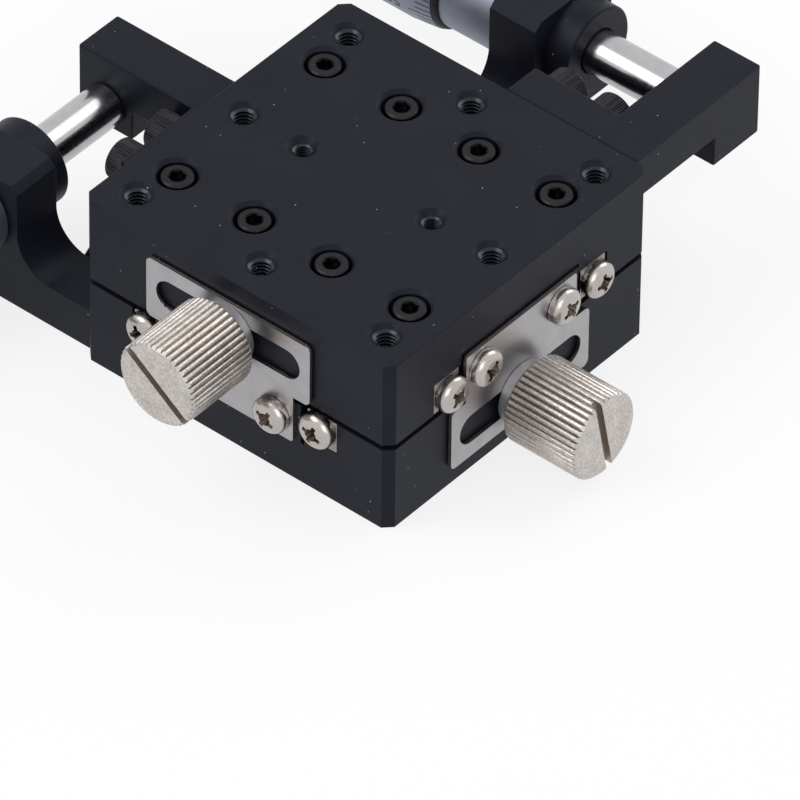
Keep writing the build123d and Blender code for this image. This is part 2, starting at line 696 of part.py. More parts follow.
def lock_knob(slot_angle):
    """Knurled knob with a screwdriver slot."""
    start, end = WASHER_START + WASHER_THICK + SLIDE_FIT, WASHER_START + WASHER_THICK + KNOB_LENGTH
    long, radius, hole, cut = end - start, KNOB_RADIUS, M4_RADIUS, KNOB_CHAMFER
    points = [(0, hole), (0, radius - cut), (cut, radius), (long - cut, radius), (long, radius - cut)]
    points += [(long, 0), (7.0, 0), (7.0, hole)]
    knob = turned(points, (0, 0, 0), (0, 0, 1)) & knurled(radius, KNURL_DEPTH, KNOB_RIDGES, long)
    slot = Pos(0, 0, long) * Rot(0, 0, slot_angle) * Box(3 * radius, KNOB_SLOT_WIDTH, 2 * KNOB_SLOT_DEPTH)
    frame = Plane(origin=(LOCK_X, -HALF - start, LOCK_Z), x_dir=(1, 0, 0), z_dir=(0, -1, 0))
    return frame * (knob - slot)


def lock_stud():
    """Stud that screws into the body and carries the knob."""
    outside = WASHER_START + WASHER_THICK + 6.5
    return rod(M4_RADIUS - SCREW_FIT, STUD_GRIP + outside, (LOCK_X, -HALF + STUD_GRIP, LOCK_Z), (0, -1, 0))


def each(turn, shapes):
    """Turn every piece of a group."""
    return [turn(shape) for shape in shapes]


def write_slide(axis, turn, heading, slot_angle):
    """Write the pieces that both slides share. turn puts a piece drawn in the upper slide in its place."""
    save(f"{axis}_outer_rails", *each(turn, [outer_rail(side) for side in SIDES]))
    save(f"{axis}_outer_rail_screws", *each(turn, rail_screws()))
    save(f"{axis}_rail_end_screws", *each(turn, rail_end_screws()))
    save(f"{axis}_preload_screws", *each(turn, preload_screws()))
    save(f"{axis}_inner_rails", *each(turn, [inner_rail(side) for side in SIDES]))
    save(f"{axis}_inner_rail_screws", *each(turn, inner_rail_screws()))
    save(f"{axis}_roller_cages", *each(turn, cages()))
    save(f"{axis}_rollers", *each(turn, rollers()))
    body_pin, middle_pin = spring_pins(heading)
    save(f"{axis}_spring_body_pin", turn(body_pin))
    save(f"{axis}_spring_middle_pin", turn(middle_pin))
    save(f"{axis}_return_spring", turn(return_spring(heading)))
    save(f"{axis}_lock_plate", turn(lock_plate()))
    save(f"{axis}_lock_plate_screws", *each(turn, lock_plate_screws()))
    save(f"{axis}_lock_collar", turn(lock_collar()))
    save(f"{axis}_lock_washer", turn(lock_washer()))
    save(f"{axis}_lock_knob", turn(lock_knob(slot_angle)))
    save(f"{axis}_lock_stud", turn(lock_stud()))


def write_drive(axis, turn, drive):
    """Write one micrometer drive. turn puts a piece drawn along X in its place."""
    anvil_screws = bracket_screws(drive.anvil_mount, *anvil_screw_places(drive))
    holder_screws = bracket_screws(drive.holder_mount, *holder_screw_places(drive))
    save(f"{axis}_anvil", turn(anvil(drive)))
    save(f"{axis}_anvil_screws", *each(turn, anvil_screws))
    save(f"{axis}_micrometer_holder", turn(holder(drive)))
    save(f"{axis}_holder_screws", *each(turn, holder_screws))
    save(f"{axis}_sleeve", turn(sleeve(drive)))
    save(f"{axis}_clamp_nut", turn(clamp_nut(drive)))
    save(f"{axis}_spindle", turn(spindle(drive)))
    save(f"{axis}_thimble", turn(thimble(drive)))
    save(f"{axis}_wiper_ring", turn(wiper_ring(drive)))
    save(f"{axis}_lead_screw", turn(lead_screw(drive)))
    save(f"{axis}_ratchet", turn(ratchet(drive)))


save("base_body", base_body())
save("middle_block", middle_block())
save("top_body", top_body())
write_slide("x", lambda shape: shape, 1, X_KNOB_SLOT_ANGLE)
write_slide("y", to_base, -1, Y_KNOB_SLOT_ANGLE)
write_drive("x", lambda shape: shape, X_DRIVE)
write_drive("y", quarter, Y_DRIVE)
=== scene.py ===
"""XY linear stage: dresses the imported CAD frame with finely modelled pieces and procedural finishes.

Every piece is drawn in millimetres as if it belonged to the upper slide or to the X drive. Its layout then
puts it in its place in the row frame, because the lower slide is the upper one turned over, set along Y.
"""

import itertools
import logging
import math
from contextlib import contextmanager
from dataclasses import dataclass
from enum import Enum
from typing import Callable, Iterable, Iterator, Sequence

import bpy
from mathutils import Matrix, Vector


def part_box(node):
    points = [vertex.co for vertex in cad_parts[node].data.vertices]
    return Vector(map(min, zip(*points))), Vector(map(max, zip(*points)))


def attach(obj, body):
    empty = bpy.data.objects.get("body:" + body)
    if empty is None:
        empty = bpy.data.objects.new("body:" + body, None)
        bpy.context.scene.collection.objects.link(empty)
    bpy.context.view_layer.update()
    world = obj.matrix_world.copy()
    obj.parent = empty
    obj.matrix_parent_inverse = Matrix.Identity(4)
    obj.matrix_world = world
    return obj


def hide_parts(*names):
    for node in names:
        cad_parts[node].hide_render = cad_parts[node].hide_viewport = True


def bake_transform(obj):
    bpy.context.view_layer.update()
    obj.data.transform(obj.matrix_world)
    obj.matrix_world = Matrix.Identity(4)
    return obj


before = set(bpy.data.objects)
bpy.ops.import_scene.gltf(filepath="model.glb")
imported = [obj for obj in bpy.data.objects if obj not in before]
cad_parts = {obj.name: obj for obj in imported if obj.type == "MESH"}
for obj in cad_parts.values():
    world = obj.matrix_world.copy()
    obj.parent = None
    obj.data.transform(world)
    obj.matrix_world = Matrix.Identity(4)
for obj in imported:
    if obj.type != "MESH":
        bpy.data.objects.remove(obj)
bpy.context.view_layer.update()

MM = 0.001
Profile = Sequence[tuple[float, float]]
Socket = bpy.types.NodeSocket
Piece = bpy.types.Object
Element = bpy.types.MeshVertex | bpy.types.MeshEdge | bpy.types.MeshPolygon
Triple = tuple[float, float, float]
log = logging.getLogger("xy_stage")


class Lay(Enum):
    """Direction that a machined surface's marks run along, or turn about."""

    NONE = None
    X = 0
    Y = 1

    def cells(self, along: float, across: float) -> Triple:
        """Cells for each millimetre in X, Y and Z, with a count of its own along the lay."""
        return tuple(along if axis == self.value else across for axis in range(3))


# Finishes


class NodeTree:
    """Thin helper that adds and links shader nodes."""

    def __init__(self, name: str, kind: str = "materials") -> None:
        """Start a material or a world.

        Args:
            name: Its name.
            kind: The collection that it is made in, materials or worlds.
        """
        self.material = getattr(bpy.data, kind).new(name)
        self.material.use_nodes = True
        self.tree = self.material.node_tree
        self.shader = self.tree.nodes.get("Principled BSDF")

    def add(self, kind: str, **settings: object) -> bpy.types.Node:
        """Add a node.

        Args:
            kind: Shader node type, without its ShaderNode prefix.
            settings: Attributes to set on it.

        Returns:
            The new node.
        """
        node = self.tree.nodes.new(f"ShaderNode{kind}")
        for key, value in settings.items():
            setattr(node, key, value)
        return node

    def link(self, source: Socket, target: Socket) -> None:
        """Join two sockets."""
        self.tree.links.new(source, target)

    def put(self, name: str, value: Socket | float | Sequence[float]) -> None:
        """Link a socket to one of the shader's inputs, or set a constant there."""
        if isinstance(value, Socket):
            self.link(value, self.shader.inputs[name])
        else:
            self.shader.inputs[name].default_value = value

    def coordinates(self, cells: float | Triple) -> Socket:
        """Object coordinates in millimetres, stretched.

        Args:
            cells: Pattern cells for each millimetre, the same or one each along X, Y and Z.

        Returns:
            The socket with the stretched coordinates.
        """
        place = self.add("TexCoord")
        mapping = self.add("Mapping")
        each = (cells,) * 3 if isinstance(cells, float) else cells
        mapping.inputs["Scale"].default_value = [value / MM for value in each]
        self.link(place.outputs["Object"], mapping.inputs["Vector"])
        return mapping.outputs["Vector"]

    def noise(self, cells: float | Triple, detail: float = 3.0, roughness: float = 0.55) -> Socket:
        """Noise from 0 to 1 on Object coordinates.

        Args:
            cells: Pattern cells for each millimetre, the same or one each along X, Y and Z.
            detail: Octaves.
            roughness: Weight of the finer octaves.

        Returns:
            The noise value's socket.
        """
        node = self.add("TexNoise")
        node.inputs["Scale"].default_value = 1.0
        node.inputs["Detail"].default_value = detail
        node.inputs["Roughness"].default_value = roughness
        self.link(self.coordinates(cells), node.inputs["Vector"])
        return node.outputs["Fac"]

    def product(self, first: Socket, second: Socket | float) -> Socket:
        """One value times another."""
        node = self.add("Math", operation="MULTIPLY")
        self.link(first, node.inputs[0])
        if isinstance(second, Socket):
            self.link(second, node.inputs[1])
        else:
            node.inputs[1].default_value = second
        return node.outputs[0]

    def specks(self, pitch: float, size: float) -> Socket:
        """Sparse dots, thinned out by a cloud so that many spots stay clean.

        Args:
            pitch: Mean distance between dots in millimetres.
            size: A dot's radius in millimetres.

        Returns:
            The socket that is 1 in a dot and 0 elsewhere.
        """
        cells = self.add("TexVoronoi")
        cells.inputs["Scale"].default_value = 1.0
        self.link(self.coordinates(1 / pitch), cells.inputs["Vector"])
        dots = self.ranged(cells.outputs["Distance"], 1.0, 0.0, size / pitch * 0.6, size / pitch)
        kept = self.ranged(self.noise(0.3, 2.0), 0.0, 1.0, 0.48, 0.58)
        return self.product(dots, kept)

    def ranged(
        self, value: Socket, low: float, high: float, start: float = 0.3, end: float = 0.7
    ) -> Socket:
        """Map a socket's range to another.

        Args:
            value: Socket to map.
            low: Result at start.
            high: Result at end.
            start: Input that gives low.
            end: Input that gives high.

        Returns:
            The mapped socket.
        """
        node = self.add("MapRange")
        node.inputs["From Min"].default_value = start
        node.inputs["From Max"].default_value = end
        node.inputs["To Min"].default_value = low
        node.inputs["To Max"].default_value = high
        self.link(value, node.inputs["Value"])
        return node.outputs["Result"]

    def blend(self, factor: Socket, first: Socket | Triple, second: Triple) -> Socket:
        """Colour that goes from first to second as the factor goes from 0 to 1."""
        node = self.add("Mix", data_type="RGBA")
        self.link(factor, node.inputs["Factor"])
        if isinstance(first, Socket):
            self.link(first, node.inputs[6])
        else:
            node.inputs[6].default_value = (*first, 1.0)
        node.inputs[7].default_value = (*second, 1.0)
        return node.outputs[2]

    def scaled(self, colour: Socket, factor: Socket) -> Socket:
        """Colour made darker or lighter by a factor."""
        node = self.add("VectorMath", operation="SCALE")
        self.link(colour, node.inputs[0])
        self.link(factor, node.inputs["Scale"])
        return node.outputs[0]

    def bump(self, height: Socket, depth: float, strength: float) -> Socket:
        """Normal of a bump, from a height of 0 to 1, its depth in millimetres and its strength."""
        node = self.add("Bump")
        node.inputs["Distance"].default_value = depth * MM
        node.inputs["Strength"].default_value = strength
        self.link(height, node.inputs["Height"])
        return node.outputs["Normal"]

    def over(self, factor: Socket, under: Socket, top: Socket, end: Socket) -> None:
        """Mix two shaders by a factor and send them to an output."""
        mix = self.add("MixShader")
        self.link(factor, mix.inputs["Fac"])
        self.link(under, mix.inputs[1])
        self.link(top, mix.inputs[2])
        self.link(mix.outputs["Shader"], end)

    def largest(self, *sockets: Socket) -> Socket:
        """The largest of several values."""
        found = sockets[0]
        for other in sockets[1:]:
            node = self.add("Math", operation="MAXIMUM")
            self.link(found, node.inputs[0])
            self.link(other, node.inputs[1])
            found = node.outputs[0]
        return found

    def seen_or_reflected(self) -> Socket:
        """1 for a ray that sees the surface, also in a reflection or through glass, and otherwise 0."""
        path = self.add("LightPath").outputs
        return self.largest(path["Is Camera Ray"], path["Is Glossy Ray"], path["Is Transmission Ray"])


@dataclass(frozen=True)
class Finish:
    """A finish that pieces can be dressed in. slot, the record's material slot, is not used."""

    name: str
    slot: str

    def make(self) -> bpy.types.Material:
        """Build the material."""
        raise NotImplementedError

    def material(self) -> bpy.types.Material:
        """The finish's material, made once under a name that no slot of the record has."""
        found = bpy.data.materials.get(self.name)
        return found or self.make()

    def dress(self, piece: Piece) -> None:
        """Put the material on all of a CAD node."""
        for slot in piece.material_slots:
            slot.material = self.material()

    def coat(self, piece: Piece) -> None:
        """Put the material on what has none yet of a new piece."""
        if not piece.material_slots:
            piece.data.materials.append(None)
        for slot in piece.material_slots:
            slot.material = slot.material or self.material()


@dataclass(frozen=True)
class Anodised(Finish):
    """Black anodised aluminium: fine grain, faint clouds, a few pale specks."""

    dark: Triple = (0.0070, 0.0077, 0.0124)
    light: Triple = (0.0100, 0.0108, 0.0168)
    cloud_cells: float = 0.09
    speck: Triple = (0.45, 0.45, 0.46)
    speck_pitch: float = 2.2
    speck_size: float = 0.12
    grain: float = 0.16
    grain_cells: float = 2.6
    grain_depth: float = 0.012
    roughness: float = 0.42
    specular: float = 0.13
    tint: Triple = (0.82, 0.89, 1.0)

    def make(self) -> bpy.types.Material:
        """Build the material."""
        nodes = NodeTree(self.name)
        cloud = nodes.ranged(nodes.noise(self.cloud_cells, 4.0), 0.0, 1.0)
        base = nodes.blend(cloud, self.dark, self.light)
        specks = nodes.specks(self.speck_pitch, self.speck_size)
        specked = nodes.blend(specks, base, self.speck)
        grain = nodes.noise(self.grain_cells, 3.0, 0.75)
        shade = nodes.ranged(grain, 1.0 - self.grain, 1.0 + self.grain)
        nodes.put("Base Color", nodes.scaled(specked, shade))
        nodes.put("Roughness", nodes.ranged(grain, self.roughness - 0.05, self.roughness + 0.05))
        nodes.put("Specular IOR Level", self.specular)
        nodes.put("Specular Tint", (*self.tint, 1.0))
        nodes.put("Normal", nodes.bump(grain, self.grain_depth, 0.5))
        return nodes.material


@dataclass(frozen=True)
class Metal(Finish):
    """Bare or plated metal whose tool marks follow a lay."""

    colour: Triple = (0.6, 0.6, 0.6)
    roughness: float = 0.3
    lay: Lay = Lay.NONE
    mark_pitch: float = 0.12
    mark_depth: float = 0.004
    stain: float = 0.12
    fleck: float = 0.0
    stain_cells: float = 0.35
    fleck_cells: float = 2.4

    def mark_cells(self) -> Triple:
        """Cells for each millimetre that draw the marks as streaks 25 times as long as wide."""
        return self.lay.cells(0.04 / self.mark_pitch, 1.0 / self.mark_pitch)

    def make(self) -> bpy.types.Material:
        """Build the material."""
        nodes = NodeTree(self.name)
        clean = 1.0 - self.stain
        stain = nodes.ranged(nodes.noise(self.stain_cells, 4.0), clean, 1.0)
        darker = tuple(value * clean for value in self.colour)
        base = nodes.blend(nodes.ranged(stain, 0.0, 1.0, clean, 1.0), darker, self.colour)
        if self.fleck:
            flecks = nodes.noise(self.fleck_cells, 4.0, 0.75)
            base = nodes.scaled(base, nodes.ranged(flecks, 1.0 - self.fleck, 1.0 + self.fleck * 0.3))
        nodes.put("Base Color", base)
        marks = nodes.noise(self.mark_cells(), 2.0)
        nodes.put("Roughness", nodes.ranged(marks, self.roughness * 0.8, self.roughness * 1.2))
        nodes.put("Metallic", 1.0)
        nodes.put("Normal", nodes.bump(marks, self.mark_depth, 0.6))
        return nodes.material


@dataclass(frozen=True)
class Turned(Metal):
    """Metal turned about its own axis, with fine feed rings along the lay."""

    feed: float = 0.18

    def mark_cells(self) -> Triple:
        """Cells for each millimetre that draw the marks as rings round the lay's axis."""
        return self.lay.cells(1.0 / self.feed, 0.01 / self.feed)


@dataclass(frozen=True)
class Rubber(Finish):
    """Dull black rubber or paint."""

    colour: Triple = (0.008, 0.008, 0.009)
    roughness: float = 0.6
    pore_cells: float = 6.0
    pore_depth: float = 0.01

    def make(self) -> bpy.types.Material:
        """Build the material."""
        nodes = NodeTree(self.name)
        pores = nodes.noise(self.pore_cells, 3.0)
        lighter = tuple(value * 1.8 for value in self.colour)
        nodes.put("Base Color", nodes.blend(nodes.ranged(pores, 0.0, 1.0), self.colour, lighter))
        nodes.put("Roughness", self.roughness)
        nodes.put("Normal", nodes.bump(pores, self.pore_depth, 0.5))
        return nodes.material


ANODISED = Anodised("satin_anodising", "black_anodised")
THREAD = Anodised("thread_anodising", "black_anodised", roughness=0.24, specular=0.4)
BLACK_OXIDE = Metal("oiled_oxide", "black_oxide", (0.030, 0.030, 0.034), 0.36, mark_pitch=0.1, fleck=0.3)
RAIL_STEEL = Metal("rail_steel_y", "rail_steel", (0.30, 0.28, 0.27), 0.32, Lay.Y)
RAIL_STEEL_X = Metal("rail_steel_x", "rail_steel", (0.30, 0.28, 0.27), 0.32, Lay.X)
ROLLER_STEEL = Metal("bearing_steel", "roller_steel", (0.7, 0.7, 0.72), 0.12, mark_depth=0.001)
CAGE_BRASS = Metal("strip_brass", "cage_brass", (0.72, 0.52, 0.26), 0.3)
PLATED_SCREW = Metal("plated_screw", "plain_screw", (0.50, 0.465, 0.44), 0.24, Lay.NONE, 0.45, 0.012)
SPRING_STEEL = Metal("drawn_wire", "spring_steel", (0.5, 0.5, 0.52), 0.28)
STAINLESS_X = Metal("stainless_x", "plate_stainless", (0.42, 0.41, 0.42), 0.34, Lay.X, mark_pitch=0.08)
SHEARED_EDGE = Metal("sheared_edge", "plate_stainless", (0.50, 0.45, 0.40), 0.3, Lay.NONE, 0.2, 0.01)
STAINLESS_Y = Metal("stainless_y", "plate_stainless", (0.42, 0.41, 0.42), 0.34, Lay.Y, mark_pitch=0.08)
NICKEL = Metal("nickel_knurl", "nickel", (0.70, 0.65, 0.61), 0.33, Lay.NONE, 0.3, 0.07, 0.2, 0.4)
NICKEL_FACE = Metal("nickel_face", "nickel", (0.53, 0.515, 0.52), 0.38, Lay.NONE, 0.14, 0.005, 0.1, 0.06)
# Painted shade, a warm brown darker than the nickel, for the inside of the knob's slit.
PAINTED_SLIT_SHADE = Metal("painted_slit_shade", "nickel", (0.46, 0.40, 0.345), 0.45, Lay.NONE, 0.3, 0.01)
# Painted shade, dark brown, for the pan screws' cross recesses and the knob's groove floors.
PAINTED_RECESS_SHADE = Metal("painted_recess_shade", "nickel", (0.11, 0.085, 0.07), 0.45, Lay.NONE, 0.3, 0.01)
# Painted shade, darker than the oxide, for the cap screws' hex sockets.
PAINTED_SOCKET_SHADE = Metal("painted_socket_shade", "black_oxide", (0.012, 0.012, 0.014), 0.5)
WASHER_STEEL = Metal("turned_steel", "washer_steel", (0.49, 0.485, 0.495), 0.5, mark_pitch=0.1)
SPINDLE_X = Turned("spindle_x", "spindle_steel", (0.49, 0.485, 0.5), 0.2, Lay.X, 0.12, 0.0016, feed=0.22)
SPINDLE_Y = Turned("spindle_y", "spindle_steel", (0.49, 0.485, 0.5), 0.2, Lay.Y, 0.12, 0.0016, feed=0.22)
SATIN_CHROME = Metal("matt_chrome", "satin_chrome", (0.265, 0.285, 0.345), 0.5, mark_pitch=0.09)
WIPER_RUBBER = Rubber("wiper_rubber", "black_rubber")
MARK_PAINT = Rubber("mark_paint", "black_rubber", (0.006, 0.006, 0.007))


# Bench work


class Bench:
    """Modelling steps that the pieces share, on drawings in millimetres."""

    @staticmethod
    def take(*pieces: Piece) -> None:
        """Select these pieces alone; the first is the active one."""
        bpy.ops.object.select_all(action="DESELECT")
        for piece in pieces:
            piece.select_set(True)
        bpy.context.view_layer.objects.active = pieces[0]

    @staticmethod
    @contextmanager
    def editing(piece: Piece, kind: str = "") -> Iterator[None]:
        """Edit mode on a piece alone, with all of it selected.

        Args:
            piece: Piece to edit.
            kind: VERT, EDGE or FACE, to keep the selection that was made of such elements.

        Yields:
            Nothing, while the piece is in edit mode.
        """
        Bench.take(piece)
        if kind:
            bpy.context.tool_settings.mesh_select_mode = [kind == own for own in ("VERT", "EDGE", "FACE")]
        bpy.ops.object.mode_set(mode="EDIT")
        if not kind:
            bpy.ops.mesh.select_all(action="SELECT")
        yield
        bpy.ops.object.mode_set(mode="OBJECT")

    @staticmethod
    def pick(piece: Piece, kind: str, chosen: Callable[[Element], bool]) -> None:
        """Select elements of a piece, and no others.

        Args:
            piece: Piece whose elements are picked.
            kind: vertices, edges or polygons.
            chosen: Takes such an element and says whether it is selected.
        """
        for group in ("vertices", "edges", "polygons"):
            for item in getattr(piece.data, group):
                item.select = group == kind and chosen(item)

    @staticmethod
    def paint(piece: Piece, finish: Finish, chosen: Callable[[Element], bool]) -> None:
        """Give the faces that pass a test a finish of their own."""
        piece.data.materials.append(None)
        piece.data.materials.append(finish.material())
        for face in piece.data.polygons:
            face.material_index = int(chosen(face))

    @staticmethod
    def apply(piece: Piece, kind: str, **settings: object) -> None:
        """Add a modifier with its settings, and apply it."""
        modifier = piece.modifiers.new("work", kind)
        for key, value in settings.items():
            setattr(modifier, key, value)
        Bench.take(piece)
        bpy.ops.object.modifier_apply(modifier=modifier.name)

    @staticmethod
    def block(low: Triple, high: Triple) -> Piece:
        """Box between its lowest and highest corner."""
        bpy.ops.object.select_all(action="DESELECT")
        centre = [(a + b) / 2 for a, b in zip(low, high)]
        bpy.ops.mesh.primitive_cube_add(size=1.0, location=centre)
        piece = bpy.context.object
        piece.scale = [b - a for a, b in zip(low, high)]
        bpy.ops.object.transform_apply(location=True, rotation=True, scale=True)
        return piece

    @staticmethod
    def outline(points: Sequence[Triple], closed: bool) -> Piece:
        """Wire through the points, ready to be filled or spun.

        Args:
            points: Corners in order.
            closed: Whether the last corner joins the first.

        Returns:
            The wire.
        """
        mesh = bpy.data.meshes.new("outline")
        edges = [(step, step + 1) for step in range(len(points) - 1)]
        if closed:
            edges.append((len(points) - 1, 0))
        mesh.from_pydata([tuple(point) for point in points], edges, [])
        piece = bpy.data.objects.new("outline", mesh)
        bpy.context.collection.objects.link(piece)
        return piece

    @staticmethod
    def prism(points: Sequence[Triple], push: Triple) -> Piece:
        """Flat outline that is filled and extruded.

        Args:
            points: Corners of the outline in order.
            push: How far and which way it is extruded.

        Returns:
            The closed solid.
        """
        piece = Bench.outline(points, closed=True)
        with Bench.editing(piece):
            bpy.ops.mesh.edge_face_add()
            bpy.ops.mesh.extrude_region_move(TRANSFORM_OT_translate={"value": push})
            bpy.ops.mesh.select_all(action="SELECT")
            bpy.ops.mesh.normals_make_consistent(inside=False)
        return piece

    @staticmethod
    def turned(
        profile: Profile, centre: Triple = (0, 0, 0), axis: Triple = (0, 0, 1), steps: int = 72
    ) -> Piece:
        """Solid of revolution.

        Args:
            profile: Corners as (distance along the axis, radius). If both ends are on the axis it is a solid,
                and otherwise it is closed into a ring.
            centre: Point on the axis from which distances count.
            axis: The axis, of length 1.
            steps: Facets round the axis.

        Returns:
            The closed solid.
        """
        along, start = Vector(axis), Vector(centre)
        side = along.orthogonal().normalized()
        solid = profile[0][1] == 0 and profile[-1][1] == 0
        points = [start + along * distance + side * radius for distance, radius in profile]
        piece = Bench.outline(points, closed=not solid)
        with Bench.editing(piece):
            bpy.ops.mesh.spin(steps=steps, angle=math.tau, center=centre, axis=axis)
        return Bench.weld(piece)

    @staticmethod
    def fluted(
        radius: float,
        depth: float,
        ridges: int,
        length: float,
        centre: Triple,
        axis: Triple,
        floor: Finish | None = None,
    ) -> Piece:
        """Straight-knurled rod, with eight corners to a ridge, two of them on the groove's floor.

        Args:
            radius: Radius over the ridges.
            depth: Depth of the grooves.
            ridges: Ridges round the rod.
            length: Length of the rod.
            centre: Middle of its first end.
            axis: Direction of its length.
            floor: Finish of the grooves' floors, if it isn't the rod's own.

        Returns:
            The rod.
        """
        corners = 8
        bpy.ops.object.select_all(action="DESELECT")
        bpy.ops.mesh.primitive_cylinder_add(vertices=ridges * corners, radius=radius, depth=length)
        piece = bpy.context.object

        def step(spot: Vector) -> float:
            """How many corners round the rod a point lies."""
            return math.atan2(spot.y, spot.x) % math.tau / math.tau * ridges * corners

        if floor:
            Bench.paint(
                piece, floor, lambda face: int(step(face.center)) % corners == 0 and abs(face.normal.z) < 0.5
            )
        drawn_in = (((0, 1), 1.0), ((2, 7), 0.3), ((3, 6), 0.06))
        for chosen, share in drawn_in:
            Bench.pick(piece, "vertices", lambda vertex: round(step(vertex.co)) % corners in chosen)
            with Bench.editing(piece, "VERT"):
                factor = 1.0 - share * depth / radius
                bpy.ops.transform.resize(value=(factor, factor, 1.0), center_override=(0.0, 0.0, 0.0))
        turn = Vector((0, 0, 1)).rotation_difference(Vector(axis)).to_matrix().to_4x4()
        middle = Vector(centre) + Vector(axis) * length / 2
        piece.data.transform(Matrix.Translation(middle) @ turn)
        return piece

    @staticmethod
    def combine(
        piece: Piece, others: Iterable[Piece], how: str = "DIFFERENCE", cut: Finish | None = None
    ) -> Piece:
        """Cut, join or intersect a piece with others, which are used up.

        Args:
            piece: The piece that stays.
            others: Cutters or additions.
            how: DIFFERENCE, UNION or INTERSECT.
            cut: Finish of the surfaces that the others leave, if it isn't the piece's own.

        Returns:
            The piece.
        """
        for other in others:
            settings = {"operation": how, "solver": "EXACT", "object": other}
            if cut:
                if not piece.data.materials:
                    piece.data.materials.append(None)
                other.data.materials.append(cut.material())
                settings["material_mode"] = "TRANSFER"
            Bench.apply(piece, "BOOLEAN", **settings)
            bpy.data.objects.remove(other)
        return piece

    @staticmethod
    def gather(pieces: Sequence[Piece]) -> Piece:
        """Join separate solids into one object."""
        Bench.take(*pieces)
        bpy.ops.object.join()
        return bpy.context.object

    @staticmethod
    def weld(piece: Piece) -> Piece:
        """Join corners that lie on each other."""
        with Bench.editing(piece):
            bpy.ops.mesh.remove_doubles(threshold=1e-4)
            bpy.ops.mesh.normals_make_consistent(inside=False)
        return piece

    @staticmethod
    def grow(
        piece: Piece,
        planes: Sequence[tuple[Triple, Triple]],
        chosen: Callable[[Vector, Vector], bool],
        push: Triple,
    ) -> Piece:
        """Divide a piece along planes and pull some of its faces out.

        Args:
            piece: Piece to work on.
            planes: Each plane as a point and a normal.
            chosen: Takes a face's centre and normal and says whether it is pulled out.
            push: How far and which way.

        Returns:
            The piece.
        """
        with Bench.editing(piece):
            for point, normal in planes:
                bpy.ops.mesh.select_all(action="SELECT")
                bpy.ops.mesh.bisect(plane_co=point, plane_no=normal)
        Bench.pick(piece, "polygons", lambda face: chosen(face.center, face.normal))
        with Bench.editing(piece, "FACE"):
            bpy.ops.mesh.extrude_region_move(TRANSFORM_OT_translate={"value": push})
        return Bench.tidy(piece)

    @staticmethod
    def tidy(piece: Piece) -> Piece:
        """Dissolve edges that lie flat in a face."""
        with Bench.editing(piece):
            bpy.ops.mesh.remove_doubles(threshold=1e-4)
            bpy.ops.mesh.dissolve_limited(angle_limit=math.radians(0.5))
        return piece

    @staticmethod
    def chamfer(
        piece: Piece, width: float, chosen: Callable[[Vector, Vector], bool], segments: int = 1
    ) -> Piece:
        """Bevel the edges that a test picks by their two ends.

        Args:
            piece: Piece to work on.
            width: Bevel's width.
            chosen: Takes an edge's two ends and says whether it is bevelled.
            segments: 1 for a flat chamfer, more for a round.

        Returns:
            The piece.
        """
        ends = piece.data.vertices
        Bench.pick(piece, "edges", lambda edge: chosen(*(ends[index].co for index in edge.vertices)))
        with Bench.editing(piece, "EDGE"):
            bpy.ops.mesh.bevel(offset=width, segments=segments, affect="EDGES")
        return piece

    @staticmethod
    def soften(piece: Piece, width: float, segments: int = 2, angle: float = 30.0) -> Piece:
        """Break the sharp edges and smooth the rest.

        Args:
            piece: Piece to work on.
            width: Width of the broken edges.
            segments: Facets across each.
            angle: Edges sharper than this many degrees are broken.

        Returns:
            The piece.
        """
        corner = math.radians(angle)
        Bench.apply(
            piece, "BEVEL", width=width, segments=segments, limit_method="ANGLE", angle_limit=corner
        )
        bpy.ops.object.shade_smooth_by_angle(angle=math.radians(35))
        return piece

    @staticmethod
    def flatten(piece: Piece) -> None:
        """Let the large faces set the shading at their edges, so that they look flat."""
        Bench.apply(piece, "WEIGHTED_NORMAL", keep_sharp=True, weight=80)

    @staticmethod
    def copies(piece: Piece, places: Iterable[Matrix]) -> Piece:
        """One object of copies of a piece, which is used up.

        Args:
            piece: The model, drawn about the origin.
            places: Where each copy goes.

        Returns:
            The joined copies.
        """
        made = []
        for place in places:
            copy = piece.copy()
            copy.data = piece.data.copy()
            copy.data.transform(place)
            bpy.context.collection.objects.link(copy)
            made.append(copy)
        bpy.data.objects.remove(piece)
        return Bench.gather(made)


def stand(place: Triple, axis: Triple, turn: float = 0.0) -> Matrix:
    """Matrix that takes a drawing about +Z to a place, with its +Z along an axis, turned about it first."""
    lean = Vector((0, 0, 1)).rotation_difference(Vector(axis)).to_matrix().to_4x4()
    return Matrix.Translation(Vector(place)) @ lean @ Matrix.Rotation(turn, 4, "Z")


@dataclass(frozen=True)
class Layout:
    """Takes a drawing to its place. to_row turns millimetres of the drawing into metres of the row frame."""

    to_row: Matrix

    def box(self, node: str) -> tuple[Vector, Vector]:
        """Lowest and highest corner of a CAD node in the drawing's millimetres.

        Args:
            node: The node's name.

        Returns:
            The two corners.
        """
        back = self.to_row.inverted()
        corners = [back @ Vector(corner) for corner in itertools.product(*zip(*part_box(node)))]
        low = Vector([min(corner[i] for corner in corners) for i in range(3)])
        high = Vector([max(corner[i] for corner in corners) for i in range(3)])
        return low, high

    def fit(
        self, piece: Piece, name: str, finish: Finish, body: str, nodes: Sequence[str] = ()
    ) -> Piece:
        """Put a finished drawing in its place and dress it.

        Args:
            piece: The drawing.
            name: Name of the piece.
            finish: Its finish.
            body: CAD body that it moves with.
            nodes: CAD nodes that it stands for.

        Returns:
            The piece.
        """
        piece.name = name
        piece.data.name = name
        piece.data.transform(self.to_row)
        if self.to_row.determinant() < 0:
            piece.data.flip_normals()
        piece.data.update()
        Bench.flatten(piece)
        finish.coat(piece)
        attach(piece, body)
        if nodes:
            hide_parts(*nodes)
        log.info("%s: %d faces, on %s", name, len(piece.data.polygons), body)
        return piece


